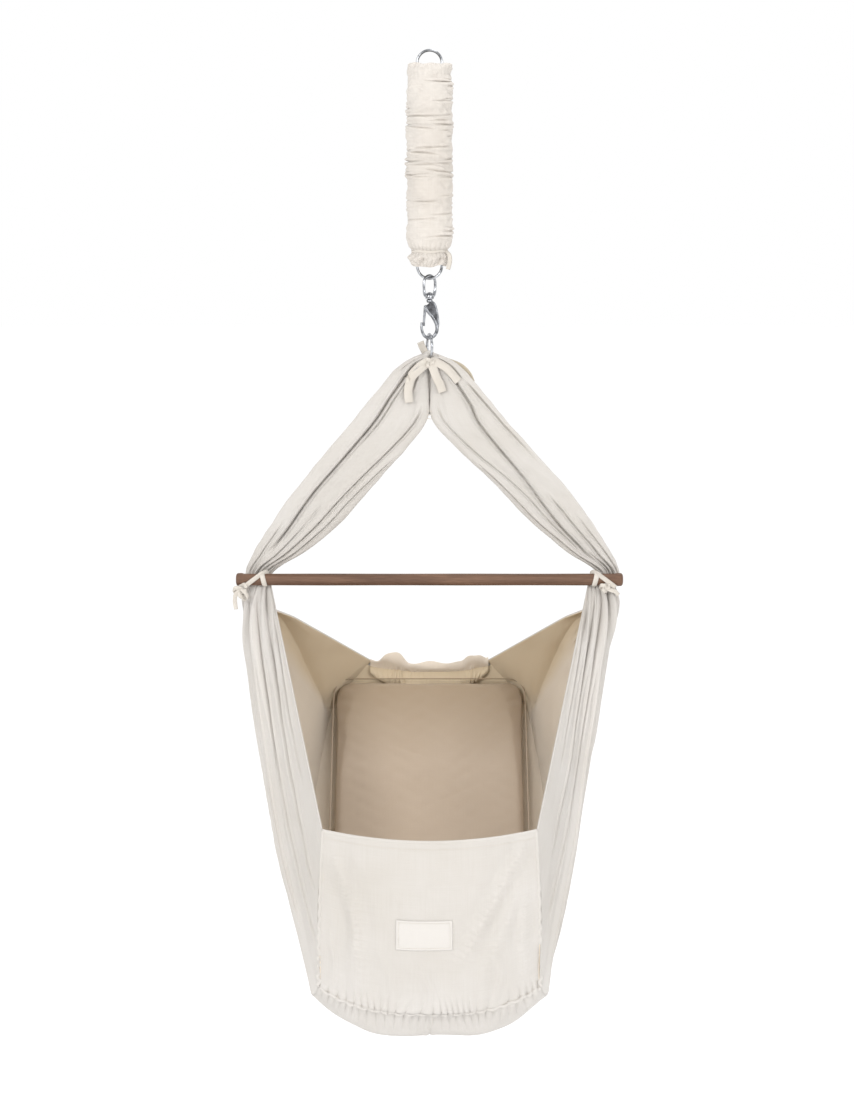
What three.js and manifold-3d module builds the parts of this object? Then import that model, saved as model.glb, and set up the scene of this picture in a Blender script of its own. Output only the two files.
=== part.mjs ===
// Spring-hung baby hammock: a cloth cradle under a round wooden spreader bar, carried by a snap hook
// and a covered extension spring. Millimetres, +Z up, X along the bar, -Y towards the front panel.
// The origin is the hang point, at the inside top of the ceiling ring.
import * as THREE from 'three';
import { mergeVertices } from 'three/addons/utils/BufferGeometryUtils.js';
import Module from 'manifold-3d';

const wasm = await Module();
wasm.setup();

// Driving dimensions
const GAP = 0.3;
const RING_R = 22.5;
const RING_WIRE_R = 2.5;
const CEILING_RING_Z = -20;
const LOWER_RING_Z = -387;
const HAMMOCK_RING_Z = -534;
const HAMMOCK_RING_TURN = 0.2;
const COIL_R = 19;
const COIL_WIRE_R = 2;
const COIL_TOP_Z = -98;
const COIL_TURNS = 49;
const COIL_PITCH = 4.25;
const SPRING_LOOP_R = 14;
const STRAP_X = 2.8;
const STRAP_WIDTH = 8;
const COVER_R = 41.5;
const COVER_WALL = 3;
const EYE_R = 13.5;
const EYE_TURN = 0.7;
const EYE_BOSS_Z = -447;
const HOOK_THICK = 7.6;
const GATE_PIN_X = -8;
const GATE_PIN_Z = -464;
const GATE_PIN_R = 1.4;
const BAR_Z = -968;
const BAR_R = 11;
const BAR_END_R = 12.2;
const BAR_LENGTH = 721;
const BUNCH_Y = 27;
const TIE_X = 311;
const TIE_WIDTH = 10;
const KNOT_X = 342;
const CLOTH = 2.5;
const MATTRESS_WIDTH = 380;
const MATTRESS_THICK = 40;
const MATTRESS_SAG = 30;
const MATTRESS_CORNER = 60;
const LABEL_WIDTH = 100;
const LABEL_HEIGHT = 54;

// Finishes
const STEEL = { color: '#b9bbbd', roughness: 0.22, metalness: 1 };
const SPRING_STEEL = { color: '#8f9193', roughness: 0.35, metalness: 1 };
const CANVAS = { color: '#ebe8e3', roughness: 0.95, metalness: 0 };
const COVER_CANVAS = { color: '#f1ebe4', roughness: 0.95, metalness: 0 };
const LINING = { color: '#c9bca9', roughness: 0.95, metalness: 0 };
const TAPE = { color: '#e4ddd2', roughness: 0.9, metalness: 0 };
const WALNUT = { color: '#7a5f4f', roughness: 0.6, metalness: 0 };
const MATTRESS_CLOTH = { color: '#bdac9a', roughness: 0.95, metalness: 0 };
const LABEL_CLOTH = { color: '#f2efe9', roughness: 0.85, metalness: 0 };

const group = new THREE.Group();

function point(x, y, z) {
  return new THREE.Vector3(x, y, z);
}

function add(name, geometry, finish) {
  const mesh = new THREE.Mesh(geometry, new THREE.MeshStandardMaterial(finish));
  mesh.name = name;
  group.add(mesh);
}

function toManifold(geometry) {
  const bare = geometry.clone();
  bare.deleteAttribute('normal');
  bare.deleteAttribute('uv');
  const merged = mergeVertices(bare, 1e-4);
  const mesh = new wasm.Mesh({
    numProp: 3,
    vertProperties: new Float32Array(merged.attributes.position.array),
    triVerts: new Uint32Array(merged.index.array),
  });
  return new wasm.Manifold(mesh);
}

function fromManifold(solid) {
  const mesh = solid.getMesh();
  const geometry = new THREE.BufferGeometry();
  geometry.setAttribute('position', new THREE.BufferAttribute(new Float32Array(mesh.vertProperties), 3));
  geometry.setIndex(new THREE.BufferAttribute(new Uint32Array(mesh.triVerts), 1));
  geometry.computeVertexNormals();
  return geometry;
}

function cylinderAlongY(radius, length, segments = 20) {
  return new THREE.CylinderGeometry(radius, radius, length, segments);
}

function cylinderAlongZ(radius, length, segments = 28) {
  return new THREE.CylinderGeometry(radius, radius, length, segments).rotateX(Math.PI / 2);
}

function roundShape(radius, segments) {
  const shape = new THREE.Shape();
  for (let i = 0; i < segments; i += 1) {
    const angle = (i / segments) * 2 * Math.PI;
    const x = radius * Math.cos(angle);
    const y = radius * Math.sin(angle);
    if (i === 0) {
      shape.moveTo(x, y);
    } else {
      shape.lineTo(x, y);
    }
  }
  return shape;
}

// A profile drawn in X and Z, given its thickness along Y and centred on the XZ plane.
function plateXZ(shape, thickness) {
  const geometry = new THREE.ExtrudeGeometry(shape, {
    depth: thickness,
    bevelEnabled: false,
    curveSegments: 10,
  });
  return geometry.rotateX(Math.PI / 2).translate(0, thickness / 2, 0);
}

// A cloth panel: a flat box bent on to a surface, with its two faces set off along the normal.
function sheet(surface, low, high, nu, nv) {
  const geometry = new THREE.BoxGeometry(1, 1, 1, nu, nv, 1);
  const position = geometry.attributes.position;
  const step = 1e-3;
  for (let i = 0; i < position.count; i += 1) {
    const u = position.getX(i) + 0.5;
    const v = position.getY(i) + 0.5;
    const offset = position.getZ(i) > 0 ? high : low;
    const u0 = Math.max(0, u - step);
    const u1 = Math.min(1, u + step);
    const v0 = Math.max(0, v - step);
    const v1 = Math.min(1, v + step);
    const alongU = surface(u1, v).sub(surface(u0, v));
    const alongV = surface(u, v1).sub(surface(u, v0));
    const normal = alongU.cross(alongV).normalize();
    const p = surface(u, v).addScaledVector(normal, offset);
    position.setXYZ(i, p.x, p.y, p.z);
  }
  geometry.computeVertexNormals();
  return geometry;
}

function curve(points, tension = 0.5) {
  return new THREE.CatmullRomCurve3(points.map((p) => point(...p)), false, 'centripetal', tension);
}

// Rings
function ring(z) {
  return new THREE.TorusGeometry(RING_R, RING_WIRE_R, 8, 28).rotateX(Math.PI / 2).translate(0, 0, z);
}

add('ceiling_ring', ring(CEILING_RING_Z), STEEL);
add('lower_ring', ring(LOWER_RING_Z), STEEL);
const hammockRing = new THREE.TorusGeometry(RING_R, RING_WIRE_R, 8, 28)
  .rotateY(Math.PI / 2)
  .rotateZ(HAMMOCK_RING_TURN)
  .translate(0, 0, HAMMOCK_RING_Z);
add('hammock_ring', hammockRing, STEEL);

// Extension spring: a close coil with a raised loop at each end, round the two ring wires
const CEILING_WIRE_Z = CEILING_RING_Z - RING_R;
const LOWER_WIRE_Z = LOWER_RING_Z + RING_R;
const COIL_BOTTOM_Z = COIL_TOP_Z - COIL_TURNS * COIL_PITCH;
const LOOP_REACH = RING_WIRE_R + COIL_WIRE_R + 2 * GAP;
const TURN_STEPS = 8;

function loopPoints(sign, loopZ, coilZ) {
  const points = [];
  for (let i = 0; i <= 12; i += 1) {
    const angle = Math.PI * (1.35 - (i / 12) * 1.6);
    points.push([0, SPRING_LOOP_R * Math.cos(angle), loopZ + sign * SPRING_LOOP_R * Math.sin(angle)]);
  }
  const neck = loopZ - sign * (SPRING_LOOP_R + 3);
  points.unshift([-8, -4, neck]);
  points.unshift([-COIL_R + 2, -1, (neck + coilZ) / 2]);
  return points;
}

class SpringPath extends THREE.Curve {
  constructor() {
    super();
    const upper = loopPoints(1, CEILING_WIRE_Z + LOOP_REACH - SPRING_LOOP_R, COIL_TOP_Z).reverse();
    const lower = loopPoints(-1, LOWER_WIRE_Z - LOOP_REACH + SPRING_LOOP_R, COIL_BOTTOM_Z);
    const coil = [];
    for (let i = 0; i <= COIL_TURNS * TURN_STEPS; i += 1) {
      const angle = Math.PI + (i / TURN_STEPS) * 2 * Math.PI;
      coil.push([COIL_R * Math.cos(angle), COIL_R * Math.sin(angle), COIL_TOP_Z - (i / TURN_STEPS) * COIL_PITCH]);
    }
    this.points = upper.concat(coil, lower).map((p) => point(...p));
  }

  getPoint(t, target = new THREE.Vector3()) {
    const last = this.points.length - 1;
    const at = Math.min(t, 1) * last;
    const i = Math.min(Math.floor(at), last - 1);
    return target.copy(this.points[i]).lerp(this.points[i + 1], at - i);
  }

  getPointAt(t, target) {
    return this.getPoint(t, target);
  }

  getTangent(t, target = new THREE.Vector3()) {
    const step = 0.5 / (this.points.length - 1);
    const ahead = this.getPoint(Math.min(1, t + step));
    return target.copy(ahead.sub(this.getPoint(Math.max(0, t - step)))).normalize();
  }

  getTangentAt(t, target) {
    return this.getTangent(t, target);
  }
}

const springPath = new SpringPath();
add('coil_spring', new THREE.ExtrudeGeometry(roundShape(COIL_WIRE_R, 4), {
  steps: springPath.points.length - 1,
  extrudePath: springPath,
}), SPRING_STEEL);

// Safety strap: a slack webbing loop inside the coil, round both ring wires
function strapOutline(halfWidth, top, bottom) {
  const folds = 20;
  const foldTop = COIL_TOP_Z;
  const foldPitch = (COIL_BOTTOM_Z - COIL_TOP_Z) / folds;
  const swing = 5.5;
  const down = [];
  for (let i = 0; i <= folds; i += 1) {
    down.push([i % 2 === 0 ? swing : -swing, foldTop + i * foldPitch]);
  }
  const path = [];
  path.push([-halfWidth, top]);
  path.push([halfWidth, top]);
  path.push([halfWidth, foldTop + 14]);
  down.forEach(([y, z]) => path.push([y + halfWidth, z]));
  path.push([halfWidth, COIL_BOTTOM_Z - 14]);
  path.push([halfWidth, bottom]);
  path.push([-halfWidth, bottom]);
  path.push([-halfWidth, COIL_BOTTOM_Z - 14]);
  down.reverse().forEach(([y, z]) => path.push([y - halfWidth, z]));
  path.push([-halfWidth, foldTop + 14]);
  return path.map(([y, z]) => new THREE.Vector2(y, z));
}

const strapShape = new THREE.Shape(strapOutline(4.4, -33.8, -374));
strapShape.holes.push(new THREE.Path(strapOutline(3.2, -35, -372.8).reverse()));
const strap = new THREE.ExtrudeGeometry(strapShape, { depth: STRAP_WIDTH, bevelEnabled: false });
const strapTurn = new THREE.Matrix4().makeBasis(point(0, 1, 0), point(0, 0, 1), point(1, 0, 0));
add('safety_strap', strap.applyMatrix4(strapTurn).translate(STRAP_X, 0, 0), TAPE);

// Gathered canvas sleeve over the spring, open at both ends
const coverInner = COVER_R - COVER_WALL;
const coverProfile = [
  [27.5, -19], [38, -23], [COVER_R, -34], [COVER_R - 1, -110], [COVER_R, -190], [COVER_R - 1, -270],
  [COVER_R, -340], [37, -352], [31, -361], [34.5, -371], [31, -381],
  [27, -381], [30, -371], [27, -361], [34, -349],
  [coverInner, -336], [coverInner - 1, -270], [coverInner, -190], [coverInner - 1, -110],
  [coverInner, -37], [35, -27], [27.2, -24],
];
const coverOutline = coverProfile.map(([r, z]) => new THREE.Vector2(r, z));
coverOutline.push(coverOutline[0].clone());
const cover = new THREE.LatheGeometry(coverOutline.reverse(), 20).rotateX(Math.PI / 2);
add('spring_cover', cover, COVER_CANVAS);
add('cover_tie', new THREE.TorusGeometry(34, 1.6, 6, 24).translate(0, 0, -359.5), TAPE);

// Swivel eye: an oval steel loop closed by a drilled boss
const EYE_TOP_Z = LOWER_RING_Z - RING_R + 2 * RING_WIRE_R + GAP;
const EYE_CENTRE_Z = EYE_TOP_Z - EYE_R;
const eyePoints = [];
for (let i = 0; i <= 8; i += 1) {
  const angle = (i / 8) * Math.PI;
  eyePoints.push([EYE_R * Math.cos(angle), 0, EYE_CENTRE_Z + EYE_R * Math.sin(angle)]);
}
eyePoints.push([-EYE_R, 0, -432], [-9, 0, -441.5], [9, 0, -441.5], [EYE_R, 0, -432]);
const eyeCurve = new THREE.CatmullRomCurve3(eyePoints.map((p) => point(...p)), true, 'centripetal');
const eyeLoop = new THREE.TubeGeometry(eyeCurve, 36, RING_WIRE_R, 8, true);
const eyeBoss = cylinderAlongZ(8, 8).translate(0, 0, EYE_BOSS_Z + 4);
const eyeBore = cylinderAlongZ(3.4, 20).translate(0, 0, EYE_BOSS_Z + 4);
const eye = toManifold(eyeLoop).add(toManifold(eyeBoss)).subtract(toManifold(eyeBore));
add('swivel_eye', fromManifold(eye).rotateZ(EYE_TURN), STEEL);
add('swivel_rivet', cylinderAlongZ(5.6, 3.2).translate(0, 0, EYE_BOSS_Z + 8 + GAP + 1.6), STEEL);

// Hook body: a thick back and bowl, with a slot and a cross pin for the gate
const hookShape = new THREE.Shape();
hookShape.moveTo(6, -449);
hookShape.quadraticCurveTo(15, -456, 17.5, -486);
hookShape.quadraticCurveTo(18, -521, 0, -521.5);
hookShape.quadraticCurveTo(-17.5, -521, -17.5, -500);
hookShape.lineTo(-16.5, -489);
hookShape.lineTo(-12.6, -489);
hookShape.lineTo(-12, -500);
hookShape.quadraticCurveTo(-10, -515.5, 0, -515.8);
hookShape.quadraticCurveTo(9, -515.5, 10, -490);
hookShape.quadraticCurveTo(9, -474, -2, -470);
hookShape.lineTo(-10, -468.5);
hookShape.lineTo(-12, -463);
hookShape.lineTo(-6, -449);
const shank = cylinderAlongZ(3, 12).translate(0, 0, -445.5);
const gateSlot = new THREE.BoxGeometry(15.5, 4.6, 17).translate(-9.25, 0, -465);
const pinBore = cylinderAlongY(GATE_PIN_R + 0.15, 20).translate(GATE_PIN_X, 0, GATE_PIN_Z);
const hook = toManifold(plateXZ(hookShape, HOOK_THICK))
  .add(toManifold(shank))
  .subtract(toManifold(gateSlot))
  .subtract(toManifold(pinBore));
add('hook_body', fromManifold(hook), STEEL);
add('gate_pin', cylinderAlongY(GATE_PIN_R, HOOK_THICK + 1.4).translate(GATE_PIN_X, 0, GATE_PIN_Z), STEEL);

const gateShape = new THREE.Shape();
gateShape.moveTo(-9.5, -460.8);
gateShape.lineTo(-5.9, -462);
gateShape.lineTo(-5.9, -467);
gateShape.quadraticCurveTo(-7.5, -480, -8.6, -496.5);
gateShape.lineTo(-11.4, -496.5);
gateShape.quadraticCurveTo(-11.6, -480, -13.4, -472);
gateShape.lineTo(-13, -464);
const gateBore = cylinderAlongY(GATE_PIN_R + 0.15, 20).translate(GATE_PIN_X, 0, GATE_PIN_Z);
const gate = toManifold(plateXZ(gateShape, 4)).subtract(toManifold(gateBore));
add('gate_lever', fromManifold(gate), STEEL);

// Cloth bunch over the hammock ring: an upside-down U round the ring's bottom wire
const RING_BOTTOM_Z = HAMMOCK_RING_Z - RING_R;
const bunchShape = new THREE.Shape();
bunchShape.moveTo(-13, RING_BOTTOM_Z - 18);
bunchShape.lineTo(-13, RING_BOTTOM_Z + 6);
bunchShape.quadraticCurveTo(-12, RING_BOTTOM_Z + 15, 0, RING_BOTTOM_Z + 15.3);
bunchShape.quadraticCurveTo(12, RING_BOTTOM_Z + 15, 13, RING_BOTTOM_Z + 6);
bunchShape.lineTo(13, RING_BOTTOM_Z - 18);
bunchShape.lineTo(4, RING_BOTTOM_Z - 18);
bunchShape.lineTo(4, RING_BOTTOM_Z + 3);
bunchShape.quadraticCurveTo(3.6, RING_BOTTOM_Z + 6.5, 0, RING_BOTTOM_Z + 6.6);
bunchShape.quadraticCurveTo(-3.6, RING_BOTTOM_Z + 6.5, -4, RING_BOTTOM_Z + 3);
bunchShape.lineTo(-4, RING_BOTTOM_Z - 18);
add('apex_cloth', plateXZ(bunchShape, 22).rotateZ(HAMMOCK_RING_TURN), CANVAS);

// Arms: pleated cloth from the ring down and out to the bar ends, passing behind the bar
const ARM_OUTER = curve([
  [46, 0, -576], [72, 0, -592], [111, 0, -634], [148, 0, -678], [204, 4, -745], [272, 10, -834],
  [325, 20, -918], [344, 26, -958], [348, BUNCH_Y, -1004],
]);
const ARM_INNER = curve([
  [3, 0, -577.5], [3, 0, -610], [3, 0, -640], [8, 0, -672], [60, 4, -745], [142, 10, -834],
  [216, 20, -905], [284, 26, -955], [300, BUNCH_Y, -1004],
]);
function armSurface(side) {
  return (u, v) => {
    const outer = ARM_OUTER.getPoint(u);
    const inner = ARM_INNER.getPoint(u);
    const p = inner.lerp(outer, v);
    return point(side * p.x, p.y, p.z);
  };
}

for (const [name, side] of [['left', -1], ['right', 1]]) {
  add(`${name}_arm_cloth`, sheet(armSurface(side), -11, 11, 16, 2), CANVAS);
}

// Spreader bar with slightly fuller turned ends
const half = BAR_LENGTH / 2;
const barOutline = [
  [0, -half], [BAR_END_R - 3, -half], [BAR_END_R, -half + 3], [BAR_END_R, -half + 12], [BAR_R, -half + 15],
  [BAR_R, half - 15], [BAR_END_R, half - 12], [BAR_END_R, half - 3], [BAR_END_R - 3, half], [0, half],
].map(([r, x]) => new THREE.Vector2(r, x));
add('spreader_bar', new THREE.LatheGeometry(barOutline, 28).rotateZ(-Math.PI / 2).translate(0, 0, BAR_Z), WALNUT);

// Tapes: a loop round each end of the bar, its knot and its hanging tail
const loopShape = roundShape(BAR_R + 1.9, 24);
loopShape.holes.push(new THREE.Path(roundShape(BAR_R + 0.4, 24).getPoints().reverse()));
for (const [name, side] of [['left', -1], ['right', 1]]) {
  const loop = new THREE.ExtrudeGeometry(loopShape, { depth: TIE_WIDTH, bevelEnabled: false })
    .rotateY(Math.PI / 2)
    .translate(side * TIE_X - TIE_WIDTH / 2, 0, BAR_Z);
  add(`${name}_bar_tie`, loop, TAPE);
  const knot = new THREE.SphereGeometry(8.5, 14, 10)
    .scale(1.1, 0.7, 1)
    .translate(side * KNOT_X, -(BAR_R + 7), BAR_Z - 2);
  add(`${name}_bar_knot`, knot, TAPE);
  const tail = new THREE.BoxGeometry(9, 1.6, 30).translate(side * KNOT_X, -(BAR_R + 7), BAR_Z - 27);
  add(`${name}_bar_tail`, tail, TAPE);
}
const apexTapes = [
  ['apex_tape_left', -38, -607, 58, -14.5],
  ['apex_tape_right', 26, -594, 50, -14.5],
  ['apex_tape_back', 66, -612, 44, -14.5],
];
for (const [name, x, z, length, y] of apexTapes) {
  add(name, new THREE.BoxGeometry(15, 1.6, length).translate(x, y, z), TAPE);
}

// Side walls: cloth fanned from the bar ends to the panel corner, the base edge and the rear rim
const WALL_TOP = curve([
  [286, -2, BAR_Z - 52], [318, -8, BAR_Z - 42], [344, 6, BAR_Z - 41], [340, 24, BAR_Z - 41], [312, 34, BAR_Z - 44],
]);
const WALL_EDGE = curve([
  [190, -300, BAR_Z - 405], [200, -306, BAR_Z - 560], [205, -300, BAR_Z - 720], [216, -250, BAR_Z - 742],
  [228, -100, BAR_Z - 650], [232, 10, BAR_Z - 570], [225, 140, BAR_Z - 468], [214, 240, BAR_Z - 378],
  [196, 312, BAR_Z - 300], [118, 350, BAR_Z - 215],
]);
function wallSurface(side) {
  return (u, v) => {
    const along = side < 0 ? u : 1 - u;
    const top = WALL_TOP.getPoint(along);
    const edge = WALL_EDGE.getPoint(along);
    const p = top.lerp(edge, v);
    const bulge = 24 * Math.sin(Math.PI * v) * Math.sin(Math.PI * along);
    return point(side * (p.x + bulge), p.y, p.z);
  };
}

for (const [name, side] of [['left', -1], ['right', 1]]) {
  add(`${name}_wall`, sheet(wallSurface(side), 0, CLOTH, 22, 6), CANVAS);
  add(`${name}_lining`, sheet(wallSurface(side), -5.5, -3.5, 22, 6), LINING);
}

// Front panel and its lining, bulging forward
function panelSurface(u, v) {
  const across = 2 * u - 1;
  const halfWidth = 182 + 14 * v;
  const flat = 1 - across * across;
  const belly = 16 * Math.sin(Math.PI * v);
  const y = -303 - 32 * flat - belly * (0.35 + 0.65 * flat);
  const top = BAR_Z - 406 - 13 * flat;
  const bottom = BAR_Z - 722 - 8 * flat;
  return point(across * halfWidth, y, top + (bottom - top) * v);
}

add('front_panel', sheet(panelSurface, -CLOTH, 0, 12, 6), CANVAS);
add('front_lining', sheet(panelSurface, 1.2, 3.2, 12, 6), LINING);

const LABEL_U = LABEL_WIDTH / (2 * 191);
const LABEL_V = LABEL_HEIGHT / 312;
function labelSurface(u, v) {
  return panelSurface(0.475 - LABEL_U / 2 + LABEL_U * u, 0.53 - LABEL_V / 2 + LABEL_V * v);
}

add('front_label', sheet(labelSurface, -CLOTH - 1.2, -CLOTH - GAP, 6, 3), LABEL_CLOTH);

// Base: hung between the two walls from the foot of the front panel up to the rear rim
const BASE_MIDDLE = curve([
  [0, -318, BAR_Z - 738], [0, -275, BAR_Z - 785], [0, -150, BAR_Z - 706], [0, 0, BAR_Z - 597],
  [0, 110, BAR_Z - 510], [0, 220, BAR_Z - 415], [0, 318, BAR_Z - 315], [0, 352, BAR_Z - 243],
]);
const BASE_EDGE = curve([
  [198, -290, BAR_Z - 728], [208, -240, BAR_Z - 738], [221, -100, BAR_Z - 655], [225, 10, BAR_Z - 575],
  [221, 90, BAR_Z - 512], [206, 205, BAR_Z - 416], [186, 294, BAR_Z - 332], [106, 346, BAR_Z - 241],
]);
function baseSurface(u, v) {
  const across = 2 * u - 1;
  const weight = across * across;
  const middle = BASE_MIDDLE.getPoint(v);
  const edge = BASE_EDGE.getPoint(v);
  return point(across * edge.x, middle.y + (edge.y - middle.y) * weight, middle.z + (edge.z - middle.z) * weight);
}

add('base_panel', sheet(baseSurface, -CLOTH, 0, 12, 14), CANVAS);

// Rear rim: an open-ended casing with the elastic inside, and two gathered ruffles above it
const CASING_Y = 352;
const CASING_Z = BAR_Z - 221;
const casingShape = new THREE.Shape([[-5, -17], [5, -17], [5, 17], [-5, 17]].map((p) => new THREE.Vector2(...p)));
casingShape.holes.push(new THREE.Path([[-3, -14], [-3, 14], [3, 14], [3, -14]].map((p) => new THREE.Vector2(...p))));
const casingTurn = new THREE.Matrix4().makeBasis(point(0, 1, 0), point(0, 0, 1), point(1, 0, 0));
const casing = new THREE.ExtrudeGeometry(casingShape, { depth: 220, bevelEnabled: false })
  .applyMatrix4(casingTurn)
  .translate(-110, CASING_Y, CASING_Z);
add('rear_casing', casing, LINING);
add('rear_elastic', new THREE.BoxGeometry(216, 3, 24).translate(0, CASING_Y, CASING_Z), TAPE);
for (const [name, side] of [['left', -1], ['right', 1]]) {
  const ruffle = new THREE.BoxGeometry(96, 9, 22, 8, 1, 1);
  const position = ruffle.attributes.position;
  for (let i = 0; i < position.count; i += 1) {
    const wave = 6 * Math.sin(position.getX(i) / 9);
    position.setY(i, position.getY(i) + wave);
  }
  ruffle.computeVertexNormals();
  add(`rear_ruffle_${name}`, ruffle.translate(side * 58, CASING_Y, CASING_Z + 17 + GAP + 11), CANVAS);
}

// Mattress pad: a soft slab sloping from the foot of the front panel up to the rear rim
const PAD_FOOT = point(0, -290, BAR_Z - 729);
const PAD_HEAD = point(0, 302, BAR_Z - 268);
function padSurface(u, v) {
  const p = PAD_FOOT.clone().lerp(PAD_HEAD, v);
  const run = PAD_HEAD.clone().sub(PAD_FOOT).normalize();
  const sag = MATTRESS_SAG * Math.sin(Math.PI * v);
  const inside = Math.min(1, Math.min(v, 1 - v) * PAD_HEAD.distanceTo(PAD_FOOT) / MATTRESS_CORNER);
  const corner = MATTRESS_CORNER * 0.7 * (1 - Math.sqrt(1 - (1 - inside) ** 2));
  const x = (2 * u - 1) * (MATTRESS_WIDTH / 2 - corner);
  return point(x, p.y + run.z * sag, p.z - run.y * sag);
}

add('mattress', sheet(padSurface, -MATTRESS_THICK / 2, MATTRESS_THICK / 2, 6, 24), MATTRESS_CLOTH);

export default group;
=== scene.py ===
# %% [markdown]
# A spring-hung baby hammock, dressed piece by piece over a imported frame.
# The frame fixes where everything is and what moves. This file only adds what the eye sees:
# gathered cloth, tapes and knots, polished steel and oiled walnut.

# %% Load the frame
import math

import bpy
import numpy as np
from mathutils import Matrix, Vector


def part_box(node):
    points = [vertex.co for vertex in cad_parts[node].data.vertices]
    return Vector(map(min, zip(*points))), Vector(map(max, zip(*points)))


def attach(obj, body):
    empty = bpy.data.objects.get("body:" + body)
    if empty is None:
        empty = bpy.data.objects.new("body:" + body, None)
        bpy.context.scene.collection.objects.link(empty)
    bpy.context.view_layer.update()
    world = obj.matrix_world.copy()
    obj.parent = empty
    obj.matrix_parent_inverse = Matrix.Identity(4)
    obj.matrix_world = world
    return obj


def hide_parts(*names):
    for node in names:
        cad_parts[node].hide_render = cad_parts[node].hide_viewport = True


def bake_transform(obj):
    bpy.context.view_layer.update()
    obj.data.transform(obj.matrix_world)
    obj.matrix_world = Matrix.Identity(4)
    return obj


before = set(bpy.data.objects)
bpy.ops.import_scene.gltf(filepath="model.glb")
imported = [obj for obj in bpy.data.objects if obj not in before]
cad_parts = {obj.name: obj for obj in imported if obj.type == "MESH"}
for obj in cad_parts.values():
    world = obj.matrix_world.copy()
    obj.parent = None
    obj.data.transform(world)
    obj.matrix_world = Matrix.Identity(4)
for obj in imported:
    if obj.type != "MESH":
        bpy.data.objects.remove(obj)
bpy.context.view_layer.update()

MM = 0.001

# %% [markdown]
# Every finish below is built from expressions on node sockets. One small class carries a socket and
# turns +, - and * into Math nodes, so a mask reads as it would on paper.

# %% Shader arithmetic


def feed(tree, slot, value):
    if isinstance(value, Shade):
        tree.links.new(value.socket, slot)
    else:
        slot.default_value = value


class Shade:
    """A node socket that can stand in an expression."""

    def __init__(self, tree, socket):
        self.tree = tree
        self.socket = socket

    def math(self, operation, *values):
        node = self.tree.nodes.new("ShaderNodeMath")
        node.operation = operation
        for slot, value in zip(node.inputs, values):
            feed(self.tree, slot, value)
        return Shade(self.tree, node.outputs[0])

    def __add__(self, other):
        return self.math("ADD", self, other)

    __radd__ = __add__

    def __sub__(self, other):
        return self.math("SUBTRACT", self, other)

    def __rsub__(self, other):
        return self.math("SUBTRACT", other, self)

    def __mul__(self, other):
        return self.math("MULTIPLY", self, other)

    __rmul__ = __mul__

    def sine(self):
        return self.math("SINE", self)

    def clamp(self):
        return self.math("MAXIMUM", self.math("MINIMUM", self, 1.0), 0.0)

    def output(self, number):
        """Another output of the node that this socket is on."""
        return Shade(self.tree, self.socket.node.outputs[number])


class Finish:
    """One material: its nodes, and the shader that they feed."""

    def __init__(self, name, **constants):
        self.material = bpy.data.materials.new(name)
        self.material.use_nodes = True
        self.tree = self.material.node_tree
        self.shader = self.tree.nodes["Principled BSDF"]
        for socket, value in constants.items():
            self.shader.inputs[socket.replace("_", " ")].default_value = value

    def node(self, kind, out=0, stops=(), **inputs):
        """A new node, with its inputs given by name, or as i0, i1 by number. stops are a colour ramp's."""
        node = self.tree.nodes.new(kind)
        if stops:
            ramp = node.color_ramp
            while len(ramp.elements) < len(stops):
                ramp.elements.new(0.5)
            for element, (at, colour) in zip(ramp.elements, stops):
                element.position = at
                element.color = colour
        for key, value in inputs.items():
            slot = int(key[1:]) if key[0] == "i" and key[1:].isdigit() else key.replace("_", " ")
            feed(self.tree, node.inputs[slot], value)
        return Shade(self.tree, node.outputs[out])

    def place(self, scale, source="Object"):
        coordinates = self.node("ShaderNodeTexCoord", out={"Object": 3, "UV": 2}[source])
        return self.node("ShaderNodeMapping", Vector=coordinates, Scale=scale)

    def noise(self, where, scale, detail=3.0, roughness=0.5, distortion=0.0):
        return self.node("ShaderNodeTexNoise", Vector=where, Scale=scale, Detail=detail,
                         Roughness=roughness, Distortion=distortion)

    def blend(self, factor, first, second):
        node = self.tree.nodes.new("ShaderNodeMix")
        node.data_type = "RGBA"
        feed(self.tree, node.inputs[0], factor)
        feed(self.tree, node.inputs[6], first)
        feed(self.tree, node.inputs[7], second)
        return Shade(self.tree, node.outputs[2])

    def put(self, **sockets):
        for socket, value in sockets.items():
            feed(self.tree, self.shader.inputs[socket.replace("_", " ")], value)

    def bump(self, height, distance, strength=1.0):
        normal = self.node("ShaderNodeBump", Height=height, Distance=distance, Strength=strength)
        self.put(Normal=normal)


def rgb(red, green, blue):
    """A colour as seen on a screen, 0 to 255, in the linear values that nodes take."""
    def linear(value):
        value /= 255
        return value / 12.92 if value <= 0.04045 else ((value + 0.055) / 1.055) ** 2.4
    return (linear(red), linear(green), linear(blue), 1.0)


# %% [markdown]
# All the cloth is a plain weave: threads that pass over and under at a right angle. Image textures would
# give it too, but two crossed sine waves on a UV map laid out in metres keep the thread size true on every
# piece. Slubs, the thicker stretches of a hand-finished cotton thread, and a slow drift of tone keep it
# from looking printed.

# %% Cloth finishes


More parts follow.
